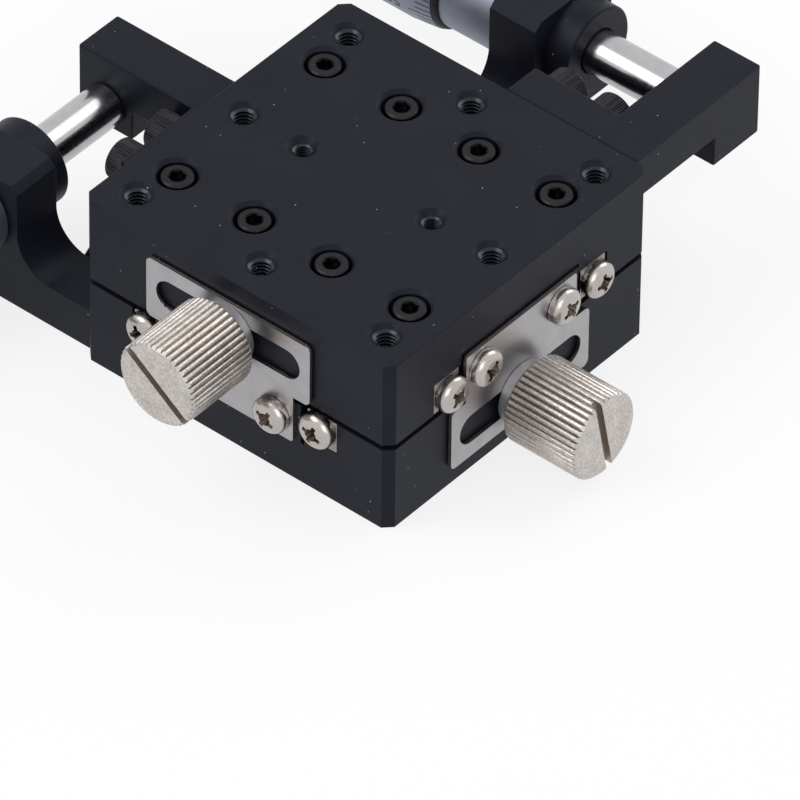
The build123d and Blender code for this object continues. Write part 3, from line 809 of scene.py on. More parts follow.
TOTAL_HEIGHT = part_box("top_body")[1][2] / MM
SCALE = Matrix.Diagonal((MM, MM, MM, 1.0))
QUARTER_TURN = Matrix(((0, -1, 0, 0), (1, 0, 0, 0), (0, 0, 1, 0), (0, 0, 0, 1)))
TURNED_OVER = Matrix(((0, -1, 0, 0), (1, 0, 0, 0), (0, 0, -1, TOTAL_HEIGHT), (0, 0, 0, 1)))
UPRIGHT = Layout(SCALE)
QUARTERED = Layout(SCALE @ QUARTER_TURN)
FLIPPED = Layout(SCALE @ TURNED_OVER)


# Screws and threads


@dataclass(frozen=True)
class CapScrew:
    """Socket cap screw with a knurled head, drawn with its seat at the origin and its head along +Z."""

    head_radius: float
    head_height: float
    flats: float
    shank_radius: float
    shank_length: float
    ridges: int = 40
    knurl_depth: float = 0.12
    edge: float = 0.28

    def build(self) -> Piece:
        """Model one screw."""
        height, radius = self.head_height, self.head_radius
        head = Bench.fluted(radius, self.knurl_depth, self.ridges, height, (0, 0, 0), (0, 0, 1))
        envelope = [(-0.1, 0), (-0.1, radius + 1), (height * 0.7, radius + 1), (height - self.edge, radius)]
        envelope += [(height - self.edge * 0.3, radius - self.edge * 0.6)]
        envelope += [(height, radius - self.edge), (height, 0)]
        Bench.combine(head, [Bench.turned(envelope, steps=96)], "INTERSECT")
        end, thin = -self.shank_length, self.shank_radius
        shank = [(0.1, 0), (0.1, thin), (end + 0.3, thin), (end, thin - 0.3), (end, 0)]
        Bench.combine(head, [Bench.turned(shank, steps=32)], "UNION")
        bpy.ops.object.select_all(action="DESELECT")
        bpy.ops.mesh.primitive_cylinder_add(
            vertices=6, radius=self.flats / math.sqrt(3), depth=height * 1.1, location=(0, 0, height)
        )
        socket = bpy.context.object
        bpy.ops.object.transform_apply(location=True, rotation=True, scale=True)
        cone = [(height + 0.1, 0), (height + 0.1, self.flats * 0.68)]
        cone += [(height - 0.25, self.flats * 0.48), (height - 0.25, 0)]
        lead = Bench.turned(cone, steps=36)
        # The socket and its lead get painted shade, darker than the head.
        Bench.combine(head, [socket, lead], cut=PAINTED_SOCKET_SHADE)
        return Bench.soften(head, 0.04, 1, 50)


BRACKET_SCREW = CapScrew(3.5, 4.0, 3.0, 1.95, 12.0, ridges=56, knurl_depth=0.13)


@dataclass(frozen=True)
class PanScrew:
    """Cross-recessed pan-head screw, drawn with its seat at the origin and its head along +Z."""

    head_radius: float = 3.2
    head_height: float = 2.3
    shank_radius: float = 1.45
    shank_length: float = 4.5
    recess: float = 1.9
    recess_depth: float = 1.7

    def wing(self, turn: float) -> Piece:
        """Cutter for one bar of the cross, narrower at its bottom, turned about Z by so many radians."""
        long, wide, top = self.recess, self.recess * 0.21, self.head_height + 0.1
        low = top - 0.1 - self.recess_depth
        bar = Bench.block((-long, -wide, low), (long, wide, top))
        Bench.pick(bar, "vertices", lambda vertex: vertex.co.z < top - 0.01)
        with Bench.editing(bar, "VERT"):
            bpy.ops.transform.resize(value=(0.35, 0.55, 1.0), center_override=(0.0, 0.0, low))
        bar.data.transform(Matrix.Rotation(turn, 4, "Z"))
        return bar

    def build(self) -> Piece:
        """Model one screw."""
        radius, height = self.head_radius, self.head_height
        dome = ((0.4, 1.0), (0.55, 0.985), (0.7, 0.93), (0.83, 0.83), (0.93, 0.69), (0.985, 0.5), (1.0, 0.3))
        profile = [(-self.shank_length, 0), (-self.shank_length, self.shank_radius), (0, self.shank_radius)]
        profile += [(0, radius - 0.1), (0.1, radius)]
        profile += [(height * along, radius * share) for along, share in dome] + [(height, 0)]
        screw = Bench.turned(profile, steps=64)
        low = height - self.recess_depth
        cone = [(height + 0.1, 0), (height + 0.1, 1.15), (low, 0.45), (low, 0)]
        cutters = [self.wing(0.0), self.wing(math.pi / 2), Bench.turned(cone, steps=24)]
        # The cut faces of the cross recess get painted shade, a dark brown that stands in for the shade
        # inside it.
        Bench.combine(screw, cutters, cut=PAINTED_RECESS_SHADE)
        return Bench.soften(screw, 0.05, 2, 40)


@dataclass(frozen=True)
class Thread:
    """Rings of thread in a tapped hole, drawn from the mouth at the origin along -Z."""

    core: float
    major: float
    pitch: float
    depth: float
    start: float

    def build(self) -> Piece:
        """Model the thread as one closed ring with a toothed bore."""
        profile = [(-self.depth, self.major + 0.08), (-self.start, self.major + 0.08)]
        place = -self.start
        while place - self.pitch > -self.depth:
            for share, radius in ((0.1, self.major), (0.44, self.core), (0.56, self.core), (0.9, self.major)):
                profile.append((place - share * self.pitch, radius))
            place -= self.pitch
        profile.append((-self.depth, self.major))
        ring = Bench.turned(profile, steps=48)
        Bench.take(ring)
        bpy.ops.object.shade_smooth_by_angle(angle=math.radians(25))
        return ring


# Sub-assemblies


@dataclass(frozen=True)
class SubAssembly:
    """Pieces that belong to one slide, whose letter starts the names of their CAD nodes."""

    slide: str
    body: str
    layout: Layout

    def named(self, part: str) -> str:
        """Name of one of the slide's CAD nodes."""
        return f"{self.slide}_{part}"

    def box(self, part: str) -> tuple[Vector, Vector]:
        """Lowest and highest corner of one of the slide's CAD nodes in the drawing's millimetres."""
        return self.layout.box(self.named(part))

    def fit(self, piece: Piece, part: str, ending: str, finish: Finish, body: str = "") -> None:
        """Put a finished drawing in the place of a CAD node.

        Args:
            piece: The drawing.
            part: The node's name without the slide's letter.
            ending: What the piece's name adds to the node's.
            finish: The piece's finish.
            body: CAD body that it moves with, if it isn't the sub-assembly's own.
        """
        node = self.named(part)
        self.layout.fit(piece, f"{node}_{ending}", finish, body or self.body, [node])


@dataclass(frozen=True)
class PlateBody(SubAssembly):
    """One of the two square bodies with its channel, rail seats, counterbores and threaded holes."""

    corner: float = 1.5
    edge: float = 0.1
    channel_half: float = 14.0
    channel_depth: float = 8.0
    preload_gap: float = 0.4
    counterbore: float = 3.3
    counterbore_mouth: float = 3.95
    cap_sunk: float = 0.4
    cap_radius: float = 2.75
    cap_height: float = 3.0
    m4: Thread = Thread(core=1.6, major=2.05, pitch=0.7, depth=6.9, start=0.72)
    m3: Thread = Thread(core=1.22, major=1.55, pitch=0.5, depth=5.9, start=0.9)
    mouth_slope: float = 0.9
    mouth_m4: float = 2.9
    mouth_m3: float = 2.65
    hole_pitch: float = 25.0
    small_half_pitch: float = 13.0
    screw_pitch: float = 15.6
    screw_turns: tuple[float, ...] = (0.3, 0.75, 0.12, 0.5, 0.95, 0.2, 0.62, 0.4)

    def screw_places(self) -> list[Triple]:
        """Seats of the cap screws that hold the outer rails."""
        low, high = self.box("outer_rails")
        y = (high.y + self.channel_half + 0.5) / 2
        z = TOTAL_HEIGHT - self.cap_sunk - self.cap_height
        return [(self.screw_pitch * step, side * y, z) for side in (-1, 1) for step in (-1.5, -0.5, 0.5, 1.5)]

    def holes(self) -> list[tuple[Thread, float, Triple]]:
        """Each threaded hole as its thread, the radius of its mouth and its place."""
        p, top = self.hole_pitch, TOTAL_HEIGHT
        spots = [(x, y) for x in (-p, 0, p) for y in (-p, 0, p) if x or y]
        found = [(self.m4, self.mouth_m4, (x, y, top)) for x, y in spots]
        return found + [(self.m3, self.mouth_m3, (side * self.small_half_pitch, 0, top)) for side in (-1, 1)]

    def blank(self) -> Piece:
        """The chamfered block before it is drilled."""
        low, high = self.layout.box(f"{self.body}_body")
        h, c = high.x, self.corner
        corners = [(h, c - h), (h, h - c), (h - c, h), (c - h, h)]
        corners += [(-h, h - c), (-h, c - h), (c - h, -h), (h - c, -h)]
        block = Bench.prism([(x, y, low.z) for x, y in corners], (0, 0, high.z - low.z))
        return Bench.chamfer(block, self.edge, lambda a, b: min(a.z, b.z) > high.z - 0.01)

    def channels(self) -> list[Piece]:
        """Cutters for the channel and the rail seats."""
        low, high = self.layout.box(f"{self.body}_body")
        rails_low, rails_high = self.box("outer_rails")
        ends, under, ceiling = high.x + 1, low.z - 1, low.z + self.channel_depth
        deep = Bench.block((-ends, -self.channel_half, under), (ends, self.channel_half, ceiling))
        seat = Bench.block((-ends, rails_low.y, under), (ends, rails_high.y + self.preload_gap, rails_high.z))
        return [deep, seat]

    def drill(self, mouth: float, radius: float, depth: float, place: Triple) -> Piece:
        """Cutter for a chamfered hole, by its radius at the surface, its radius, its depth and its place."""
        slope = self.mouth_slope
        profile = [(-0.2 * slope, 0), (-0.2 * slope, mouth + 0.2), ((mouth - radius) * slope, radius)]
        profile += [(depth, radius), (depth + radius * 0.5, 0)]
        return Bench.turned(profile, place, (0, 0, -1), 64)

    def build(self) -> None:
        """Model the body, its threads and its screws."""
        block = Bench.combine(self.blank(), self.channels())
        cutters = [
            self.drill(mouth, thread.major + 0.05, thread.depth, place)
            for thread, mouth, place in self.holes()
        ]
        for x, y, z in self.screw_places():
            place = (x, y, TOTAL_HEIGHT)
            cutters.append(self.drill(self.counterbore_mouth, self.counterbore, TOTAL_HEIGHT - z, place))
        Bench.combine(block, cutters)
        Bench.soften(Bench.tidy(block), 0.07, 2, 32)
        node = f"{self.body}_body"
        self.layout.fit(block, f"{node}_block", ANODISED, self.body, [node])
        for thread, label in ((self.m4, "m4"), (self.m3, "m3")):
            places = [Matrix.Translation(Vector(place)) for kind, _, place in self.holes() if kind is thread]
            threads = Bench.copies(thread.build(), places)
            self.layout.fit(threads, f"{node}_{label}_threads", THREAD, self.body)
        screw = CapScrew(self.cap_radius, self.cap_height, 2.5, 1.45, 10.0).build()
        seats = zip(self.screw_places(), self.screw_turns)
        places = [stand(place, (0, 0, 1), turn) for place, turn in seats]
        self.fit(Bench.copies(screw, places), "outer_rail_screws", "set", BLACK_OXIDE)


@dataclass(frozen=True)
class RailEnds(SubAssembly):
    """Outer rails with ground ends, and the stop screws on them."""

    finish: Finish
    groove: float = 1.0
    width: float = 6.0
    gap: float = 1.0
    turns: tuple[float, ...] = (0.35, 1.2, 0.8, 0.1)

    def rail(self, side: int) -> Piece:
        """The rail with its V groove at one side in Y, -1 or 1."""
        low, high = self.box("outer_rails")
        near = high.y - self.width
        y0, y1 = sorted((side * near, side * high.y))
        piece = Bench.block((low.x, y0, low.z), (high.x, y1, high.z))
        middle_y = side * (near - self.gap / 2)
        middle_z = (low.z + high.z) / 2
        cutter = Bench.block((low.x - 1, -self.groove, -self.groove), (high.x + 1, self.groove, self.groove))
        place = Matrix.Translation((0, middle_y, middle_z))
        cutter.data.transform(place @ Matrix.Rotation(math.pi / 4, 4, "X"))
        Bench.combine(piece, [cutter])
        return Bench.soften(piece, 0.25, 2, 40)

    def build(self) -> None:
        """Model the rails and their four stop screws."""
        rails = Bench.gather([self.rail(-1), self.rail(1)])
        self.fit(rails, "outer_rails", "pair", self.finish)
        low, high = self.box("rail_end_screws")
        face = self.box("outer_rails")[1].x
        radius, z = PanScrew().head_radius, (low.z + high.z) / 2
        rows = (low.y + radius, high.y - radius)
        places = [((end * face, y, z), (end, 0, 0)) for end in (-1, 1) for y in rows]
        matrices = [stand(*place, turn) for place, turn in zip(places, self.turns)]
        screws = Bench.copies(PanScrew().build(), matrices)
        self.fit(screws, "rail_end_screws", "set", PLATED_SCREW)


@dataclass(frozen=True)
class SideLock(SubAssembly):
    """Lock on the -Y face: slotted plate with its screws, collar, washer and knurled knob."""

    plate_finish: Finish
    slot_angle: float
    screw_turns: tuple[float, float] = (0.55, 1.1)
    plate_corner: float = 1.1
    stem_corner: float = 0.6
    stem_half: float = 13.2
    wide_tall: float = 11.8
    slot_half: float = 14.5
    slot_radius: float = 2.8
    screw_half_pitch: float = 9.35
    ridges: int = 44
    knurl_depth: float = 0.45
    knob_edge: float = 0.5
    slit_width: float = 1.4
    slit_depth: float = 1.3
    stud_hole: float = 2.05

    def axis(self) -> tuple[float, float]:
        """X and Z of the lock's stud."""
        low, high = self.box("lock_knob")
        return (low.x + high.x) / 2, (low.z + high.z) / 2

    def plate(self) -> Piece:
        """The slotted plate: a T outline with rounded corners, pushed to its thickness and cut."""
        low, high = self.box("lock_plate")
        x, z = self.axis()
        shoulder, left, right = high.z - self.wide_tall, x - self.stem_half, x + self.stem_half
        outline = [(low.x, high.z), (low.x, shoulder), (left, shoulder), (left, low.z)]
        outline += [(right, low.z), (right, shoulder), (high.x, shoulder), (high.x, high.z)]
        piece = Bench.prism([(x, high.y, z) for x, z in outline], (0, low.y - high.y, 0))

        def crosses(end: Vector, other: Vector, corners: Iterable[tuple[float, float]]) -> bool:
            """Whether an edge crosses the thickness at one of these (x, z) corners."""
            level = math.dist((end.x, end.z), (other.x, other.z)) < 0.01
            return level and any(math.dist((end.x, end.z), corner) < 0.01 for corner in corners)

        wide = ((low.x, high.z), (low.x, shoulder), (high.x, shoulder), (high.x, high.z))
        stem = ((left, low.z), (right, low.z))
        Bench.chamfer(piece, self.plate_corner, lambda a, b: crosses(a, b, wide), 5)
        Bench.chamfer(piece, self.stem_corner, lambda a, b: crosses(a, b, stem), 4)
        reach, radius = self.slot_half - self.slot_radius, self.slot_radius
        slot = Bench.block((x - reach, low.y - 1, z - radius), (x + reach, high.y + 1, z + radius))
        end = [(-1, 0), (-1, radius), (2, radius), (2, 0)]
        ends = [Bench.turned(end, (x + side * reach, low.y, z), (0, 1, 0), 48) for side in (-1, 1)]
        Bench.combine(slot, ends, "UNION")
        Bench.combine(piece, [slot])
        Bench.paint(piece, SHEARED_EDGE, lambda face: abs(face.normal.y) < 0.5)
        return Bench.soften(piece, 0.09, 2, 40)

    def knob(self) -> Piece:
        """Knurled knob with a chamfered face and a screwdriver slit."""
        low, high = self.box("lock_knob")
        x, z = self.axis()
        radius, length = (high.x - low.x) / 2, high.y - low.y
        start, out = (x, high.y, z), (0, -1, 0)
        # The grooves' floors get painted shade: a dark brown line where shade falls at each groove's bottom.
        knob = Bench.fluted(radius, self.knurl_depth, self.ridges, length, start, out, PAINTED_RECESS_SHADE)
        edge, over = self.knob_edge, radius + 0.05
        envelope = [(-1, 0), (-1, radius - edge), (0, radius - edge), (edge, over)]
        envelope += [(length - edge, over), (length, radius - edge), (length, 0)]
        Bench.combine(knob, [Bench.turned(envelope, start, out, 144)], "INTERSECT", NICKEL_FACE)
        half = self.slit_width / 2
        slit = Bench.block((-radius - 1, -1, -half), (radius + 1, self.slit_depth, half))
        turn = Matrix.Rotation(self.slot_angle, 4, "Y")
        slit.data.transform(Matrix.Translation((x, low.y, z)) @ turn)
        # The slit's cut faces get painted shade, browner and darker than the nickel.
        Bench.combine(knob, [slit], cut=PAINTED_SLIT_SHADE)
        return Bench.soften(knob, 0.07, 2, 50)

    def build(self) -> None:
        """Model the lock's pieces."""
        self.fit(self.plate(), "lock_plate", "sheet", self.plate_finish, "middle")
        low, high = self.box("lock_plate_screws")
        x, seat, z = (low.x + high.x) / 2, self.box("lock_plate")[0].y, (low.z + high.z) / 2
        places = [((x + side * self.screw_half_pitch, seat, z), (0, -1, 0)) for side in (-1, 1)]
        matrices = [stand(*place, turn) for place, turn in zip(places, self.screw_turns)]
        screws = Bench.copies(PanScrew(shank_length=6.1).build(), matrices)
        self.fit(screws, "lock_plate_screws", "set", PLATED_SCREW, "middle")
        x, z = self.axis()
        for part in ("lock_collar", "lock_washer"):
            low, high = self.box(part)
            radius, long = (high.x - low.x) / 2, high.y - low.y
            ring = [(0, self.stud_hole), (0, radius), (long, radius), (long, self.stud_hole)]
            piece = Bench.soften(Bench.turned(ring, (x, high.y, z), (0, -1, 0), 96), 0.12, 2, 40)
            self.fit(piece, part, "ring", WASHER_STEEL)
        self.fit(self.knob(), "lock_knob", "knurled", NICKEL, self.named("lock_knob"))


@dataclass(frozen=True)
class Anvil(SubAssembly):
    """L-shaped bracket that the spindle presses on, with its two knurled cap screws."""

    arm_depth: float = 7.0
    arm_thick: float = 8.1
    lug_width: float = 9.3
    end_length: float = 11.1
    from_end: float = 4.2
    spacing: float = 9.1
    edge: float = 0.35

    def bracket(self) -> Piece:
        """The L with its deeper end block."""
        low, high = self.box("anvil")
        lug = high.x - self.lug_width
        outline = [(low.x, low.y), (high.x, low.y), (high.x, high.y), (lug, high.y)]
        outline += [(lug, low.y + self.arm_depth), (low.x, low.y + self.arm_depth)]
        under = high.z - self.arm_thick
        bracket = Bench.prism([(x, y, under) for x, y in outline], (0, 0, self.arm_thick))
        inner = high.y - self.end_length
        Bench.grow(
            bracket,
            [((lug, inner, under), (0, 1, 0))],
            lambda centre, normal: normal.z < -0.5 and centre.y > inner,
            (0, 0, low.z - under),
        )
        return Bench.soften(bracket, self.edge, 2, 40)

    def build(self) -> None:
        """Model the bracket and its screws."""
        low, high = self.box("anvil")
        self.fit(self.bracket(), "anvil", "bracket", ANODISED)
        z = high.z - self.arm_thick / 2
        first = low.x + self.from_end
        places = [stand((x, low.y + self.arm_depth, z), (0, 1, 0)) for x in (first, first + self.spacing)]
        screws = Bench.copies(BRACKET_SCREW.build(), places)
        self.fit(screws, "anvil_screws", "set", BLACK_OXIDE)


@dataclass(frozen=True)
class Holder(SubAssembly):
    """Micrometer holder: bored head on an arm, with a foot and two cap screws."""

    thick: float = 9.4
    head_width: float = 19.0
    arm_tall: float = 8.0
    bend: float = 6.8
    cut: float = 1.5
    foot_depth: float = 7.0
    from_end: float = 4.2
    spacing: float = 9.1
    edge: float = 0.2
    bend_steps: int = 14
    bore: float = 4.8

    def outline(self) -> list[tuple[float, float]]:
        """Corners of the head and arm seen along the spindle, as (y, z)."""
        low, high = self.box("micrometer_holder")
        near, arm, cut, bend = high.y - self.head_width, low.z + self.arm_tall, self.cut, self.bend
        corners = [(low.y, arm), (low.y, low.z), (high.y, low.z), (high.y, high.z - cut)]
        corners += [(high.y - cut, high.z), (near + cut, high.z), (near, high.z - cut)]
        for step in range(self.bend_steps + 1):
            angle = math.pi / 2 * step / self.bend_steps
            corners.append((near - bend + bend * math.cos(angle), arm + bend - bend * math.sin(angle)))
        return corners

    def build(self) -> None:
        """Model the holder and its screws."""
        low, high = self.box("micrometer_holder")
        holder = Bench.prism([(low.x, y, z) for y, z in self.outline()], (self.thick, 0, 0))
        arm, depth, face = low.z + self.arm_tall, low.y + self.foot_depth, low.x + self.thick
        Bench.grow(
            holder,
            [((face, depth, arm), (0, 1, 0)), ((face, depth, arm), (0, 0, 1))],
            lambda centre, normal: normal.x > 0.5 and centre.y < depth and centre.z < arm,
            (high.x - face, 0, 0),
        )
        nut_low, nut_high = self.box("clamp_nut")
        axis = ((nut_low.y + nut_high.y) / 2, (nut_low.z + nut_high.z) / 2)
        bore = [(-1, 0), (-1, self.bore), (self.thick + 1, self.bore), (self.thick + 1, 0)]
        Bench.combine(holder, [Bench.turned(bore, (low.x, *axis), (1, 0, 0), 64)])
        Bench.soften(holder, self.edge, 2, 40)
        self.fit(holder, "micrometer_holder", "casting", ANODISED)
        first = high.x - self.from_end
        z = low.z + self.arm_tall / 2
        places = [stand((x, low.y + self.foot_depth, z), (0, 1, 0)) for x in (first, first - self.spacing)]
        screws = Bench.copies(BRACKET_SCREW.build(), places)
        self.fit(screws, "holder_screws", "set", BLACK_OXIDE)


@dataclass(frozen=True)
class Micrometer(SubAssembly):
    """Micrometer head: sleeve, clamp nut, spindle, graduated thimble, wiper ring and ratchet."""

    spindle_finish: Finish
    divisions: int = 50
    numbered_every: int = 5
    tick_length: float = 2.9
    long_tick: float = 4.4
    tick_width: float = 0.22
    mark_rise: float = 0.012
    bevel: float = 5.0
    rim_radius: float = 8.85
    digit_height: float = 2.5
    digit_start: float = 5.9
    digit_thick: float = 0.12
    ratchet_ridges: int = 40
    grip_ridges: int = 72
    ratchet_knurl: float = 0.28
    grip_length: float = 12.0
    grip_from_back: float = 2.5
    grip_knurl: float = 0.25
    groove: float = 0.3
    back_wall: float = 2.4
    back_bore: float = 3.05
    scale_from_back: float = 8.0
    scale_pitch: float = 0.5
    scale_marks: tuple[float, float] = (1.25, 1.9)
    stem_radius: float = 4.75
    sleeve_bore: float = 3.78
    thread_bore: float = 3.03
    thread_length: float = 17.0
    nut_bore: float = 4.8
    nut_lip: float = 1.0
    nut_edge: float = 0.3
    wiper_bore: float = 8.05
    steps: int = 120

    def span(self, part: str) -> tuple[float, float, float]:
        """First x, last x and radius of a round CAD node."""
        low, high = self.box(part)
        return low.x, high.x, (high.z - low.z) / 2

    def centre(self) -> Triple:
        """Point of the drive's axis at x = 0."""
        low, high = self.box("clamp_nut")
        return (0.0, (low.y + high.y) / 2, (low.z + high.z) / 2)

    def round(self, profile: Profile) -> Piece:
        """Solid of revolution about the drive's axis from (x, radius) corners."""
        return Bench.turned(profile, self.centre(), (1, 0, 0), self.steps)

    def on_rim(self, angle: float) -> Matrix:
        """Matrix that turns a drawing made over the axis at its top about that axis."""
        centre = Matrix.Translation(Vector(self.centre()))
        return centre @ Matrix.Rotation(angle, 4, "X")

    def surface(self, x: float) -> float:
        """Radius of the thimble at x."""
        _, front, _ = self.span("thimble")
        share = min(max((front - x) / self.bevel, 0.0), 1.0)
        return self.rim_radius + share * (self.barrel_radius() - self.rim_radius)

    def barrel_radius(self) -> float:
        """Radius of the thimble under its numbers, which stand out as far as the CAD node."""
        return self.span("thimble")[2] - self.mark_rise

    def ticks(self) -> Piece:
        """Graduations round the thimble's bevel."""
        _, front, _ = self.span("thimble")
        made = []
        for step in range(self.divisions):
            length = self.tick_length if step % self.numbered_every else self.long_tick
            half = self.tick_width / 2
            tick = Bench.block((front - length, -half, -0.12), (front - 0.12, half, self.mark_rise))
            for vertex in tick.data.vertices:
                vertex.co.z += self.surface(vertex.co.x)
            tick.data.transform(self.on_rim(-math.tau * step / self.divisions))
            made.append(tick)
        return Bench.gather(made)

    def digits(self) -> Piece:
        """Plain numbers behind every fifth graduation."""
        _, front, _ = self.span("thimble")
        made = []
        for value in range(0, self.divisions, self.numbered_every):
            bpy.ops.object.select_all(action="DESELECT")
            bpy.ops.object.text_add(location=(0, 0, 0))
            text = bpy.context.object
            text.data.body = str(value)
            text.data.size = self.digit_height * 1.35
            text.data.align_x = "RIGHT"
            text.data.align_y = "CENTER"
            text.data.extrude = self.digit_thick / 2
            text.data.resolution_u = 3
            Bench.take(text)
            bpy.ops.object.convert(target="MESH")
            number = Bench.weld(bpy.context.object)
            for vertex in number.data.vertices:
                x = front - self.digit_start + vertex.co.x
                reach = self.surface(x) + self.mark_rise - self.digit_thick / 2 + vertex.co.z
                angle = vertex.co.y / self.surface(x)
                vertex.co = (x, reach * math.sin(angle), reach * math.cos(angle))
            number.data.transform(self.on_rim(-math.tau * value / self.divisions))
            made.append(number)
        return Bench.gather(made)

    def thimble(self) -> Piece:
        """The graduated thimble with a knurled grip."""
        back, front, _ = self.span("thimble")
        radius = self.barrel_radius()
        sleeve_radius = self.span("sleeve")[2]
        bore = sleeve_radius + 0.1
        grip_start = back + self.grip_from_back
        grip_end = grip_start + self.grip_length
        groove, inside = self.groove, back + self.back_wall
        shell = [(front, bore + 0.15), (front, self.rim_radius), (front - self.bevel, radius)]
        shell += [(grip_end, radius), (grip_end - groove, radius - groove)]
        shell += [(grip_start + groove, radius - groove), (grip_start, radius)]
        shell += [(back + 0.6, radius), (back, radius - 0.6), (back, self.back_bore)]
        shell += [(inside, self.back_bore), (inside, bore), (front - 0.4, bore)]
        body = Bench.soften(self.round(shell), 0.09, 2, 30)
        y, z = self.centre()[1:]
        start, inner = (grip_start + 0.4, y, z), bore + 0.4
        length = self.grip_length - 0.8
        grip = Bench.fluted(radius, self.grip_knurl, self.grip_ridges, length, start, (1, 0, 0))
        core = [(grip_start - 1, 0), (grip_start - 1, inner), (grip_end + 1, inner), (grip_end + 1, 0)]
        Bench.combine(grip, [self.round(core)])
        Bench.take(grip)
        bpy.ops.object.shade_smooth_by_angle(angle=math.radians(20))
        return Bench.gather([body, grip])

    def sleeve_scale(self) -> Piece:
        """Index line and half-millimetre marks on the sleeve."""
        sleeve_back, _, radius = self.span("sleeve")
        back, rise = sleeve_back + self.scale_from_back, self.mark_rise
        start = self.box("micrometer_holder")[0].x - 2.0
        marks = [Bench.block((back, -0.08, radius - 0.1), (start, 0.08, radius + rise))]
        for step in range(int((start - back) / self.scale_pitch)):
            x = start - self.scale_pitch * step
            long = self.scale_marks[step % 10 == 0]
            side = 1 if step % 2 == 0 else -1
            mark = Bench.block((x - 0.07, -0.02, -0.1), (x + 0.07, long, rise))
            for vertex in mark.data.vertices:
                angle = side * vertex.co.y / radius
                reach = radius + vertex.co.z
                vertex.co = (vertex.co.x, reach * math.sin(angle), reach * math.cos(angle))
            if side < 0:
                mark.data.flip_normals()
            marks.append(mark)
        scale = Bench.gather(marks)
        scale.data.transform(Matrix.Translation(Vector(self.centre())))
        return scale

    def build(self) -> None:
        """Model the head's pieces."""
        turning, sliding = self.named("thimble"), self.named("spindle")
        outer = self.box("micrometer_holder")[0].x
        back, front, radius = self.span("sleeve")
        thread_end = back + self.thread_length
        stem = [(front, self.sleeve_bore), (front, self.stem_radius), (outer, self.stem_radius)]
        stem += [(outer, radius - 0.4), (outer - 0.4, radius), (back + 0.5, radius), (back, radius - 0.5)]
        stem += [(back, self.thread_bore), (thread_end, self.thread_bore), (thread_end, self.sleeve_bore)]
        self.fit(Bench.soften(self.round(stem), 0.06, 2, 40), "sleeve", "turned", SATIN_CHROME)
        self.layout.fit(self.sleeve_scale(), self.named("sleeve_scale"), MARK_PAINT, self.body)
        first, last, radius = self.span("clamp_nut")
        lip, edge, inner = self.span("spindle")[2] + 0.1, self.nut_edge, last - self.nut_lip
        nut = [(first, self.nut_bore), (first, radius), (last - edge, radius), (last, radius - edge)]
        nut += [(last, lip + edge), (last - edge, lip), (inner, lip), (inner, self.nut_bore)]
        self.fit(Bench.soften(self.round(nut), 0.12, 2, 30), "clamp_nut", "ring", ANODISED)
        first, last, radius = self.span("spindle")
        rod = [(first, 0), (first, radius), (last - 0.3, radius), (last, radius - 0.3), (last, 0)]
        rod_piece = Bench.soften(self.round(rod), 0.05, 2, 40)
        self.fit(rod_piece, "spindle", "rod", self.spindle_finish, sliding)
        self.fit(self.thimble(), "thimble", "barrel", SATIN_CHROME, turning)
        self.layout.fit(self.ticks(), f"{turning}_ticks", MARK_PAINT, turning)
        self.layout.fit(self.digits(), f"{turning}_numbers", MARK_PAINT, turning)
        first, last, radius = self.span("wiper_ring")
        ring = [(first, self.wiper_bore), (first, radius), (first + 0.35, radius - 0.02)]
        ring += [(first + 0.65, radius - 0.12), (last - 0.12, radius - 0.3)]
        ring += [(last, radius - 0.5), (last, self.wiper_bore)]
        self.fit(Bench.soften(self.round(ring), 0.04, 2, 40), "wiper_ring", "seal", WIPER_RUBBER, turning)
        first, last, radius = self.span("ratchet")
        start = (first, *self.centre()[1:])
        knurl = Bench.fluted(
            radius, self.ratchet_knurl, self.ratchet_ridges, last - first, start, (1, 0, 0)
        )
        shape = [(first, 0), (first, radius - 0.6), (first + 0.6, radius + 0.05), (last - 1.8, radius + 0.05)]
        shape += [(last - 1.2, radius - 0.7), (last, radius - 0.7), (last, 0)]
        Bench.combine(knurl, [self.round(shape)], "INTERSECT")
        self.fit(Bench.soften(knurl, 0.05, 2, 50), "ratchet", "knob", SATIN_CHROME, turning)


@dataclass(frozen=True)
class Inside:
    """CAD nodes whose shape is right and which only need their finish."""

    slide: str
    rail_finish: Finish

    def build(self) -> None:
        """Dress the nodes."""
        kinds = {
            "inner_rails": self.rail_finish,
            "inner_rail_screws": PLATED_SCREW,
            "preload_screws": BLACK_OXIDE,
            "roller_cages": CAGE_BRASS,
            "rollers": ROLLER_STEEL,
            "spring_body_pin": SPRING_STEEL,
            "spring_middle_pin": SPRING_STEEL,
            "lock_stud": WASHER_STEEL,
            "lead_screw": SPINDLE_X,
        }
        for kind, finish in kinds.items():
            name = f"{self.slide}_{kind}"
            finish.dress(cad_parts[name])
            log.info("%s: dressed as %s", name, finish.name)


@dataclass(frozen=True)
class ReturnSpring:
    """Return spring that stretches between its pin in the middle block and its pin in a body."""

    slide: str
    body: str
    axis: int

    def pin(self, carrier: str) -> Vector:
        """Place of one of the spring's pins along the slide."""
        low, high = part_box(f"{self.slide}_spring_{carrier}_pin")
        place = Vector((0.0, 0.0, 0.0))
        place[self.axis] = (low[self.axis] + high[self.axis]) / 2
        return place

    def build(self) -> None:
        """Copy the CAD node's wire, dress it in spring steel and hide the node."""
        node = f"{self.slide}_return_spring"
        wire = bpy.data.objects.new(f"{node}_wire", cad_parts[node].data.copy())
        bpy.context.collection.objects.link(wire)
        wire.data.materials.clear()
        SPRING_STEEL.coat(wire)
        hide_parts(node)
        self.pin("middle")
        self.pin("body")
        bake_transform(wire)
        log.info("%s: stretches between middle and %s", wire.name, self.body)


# Studio


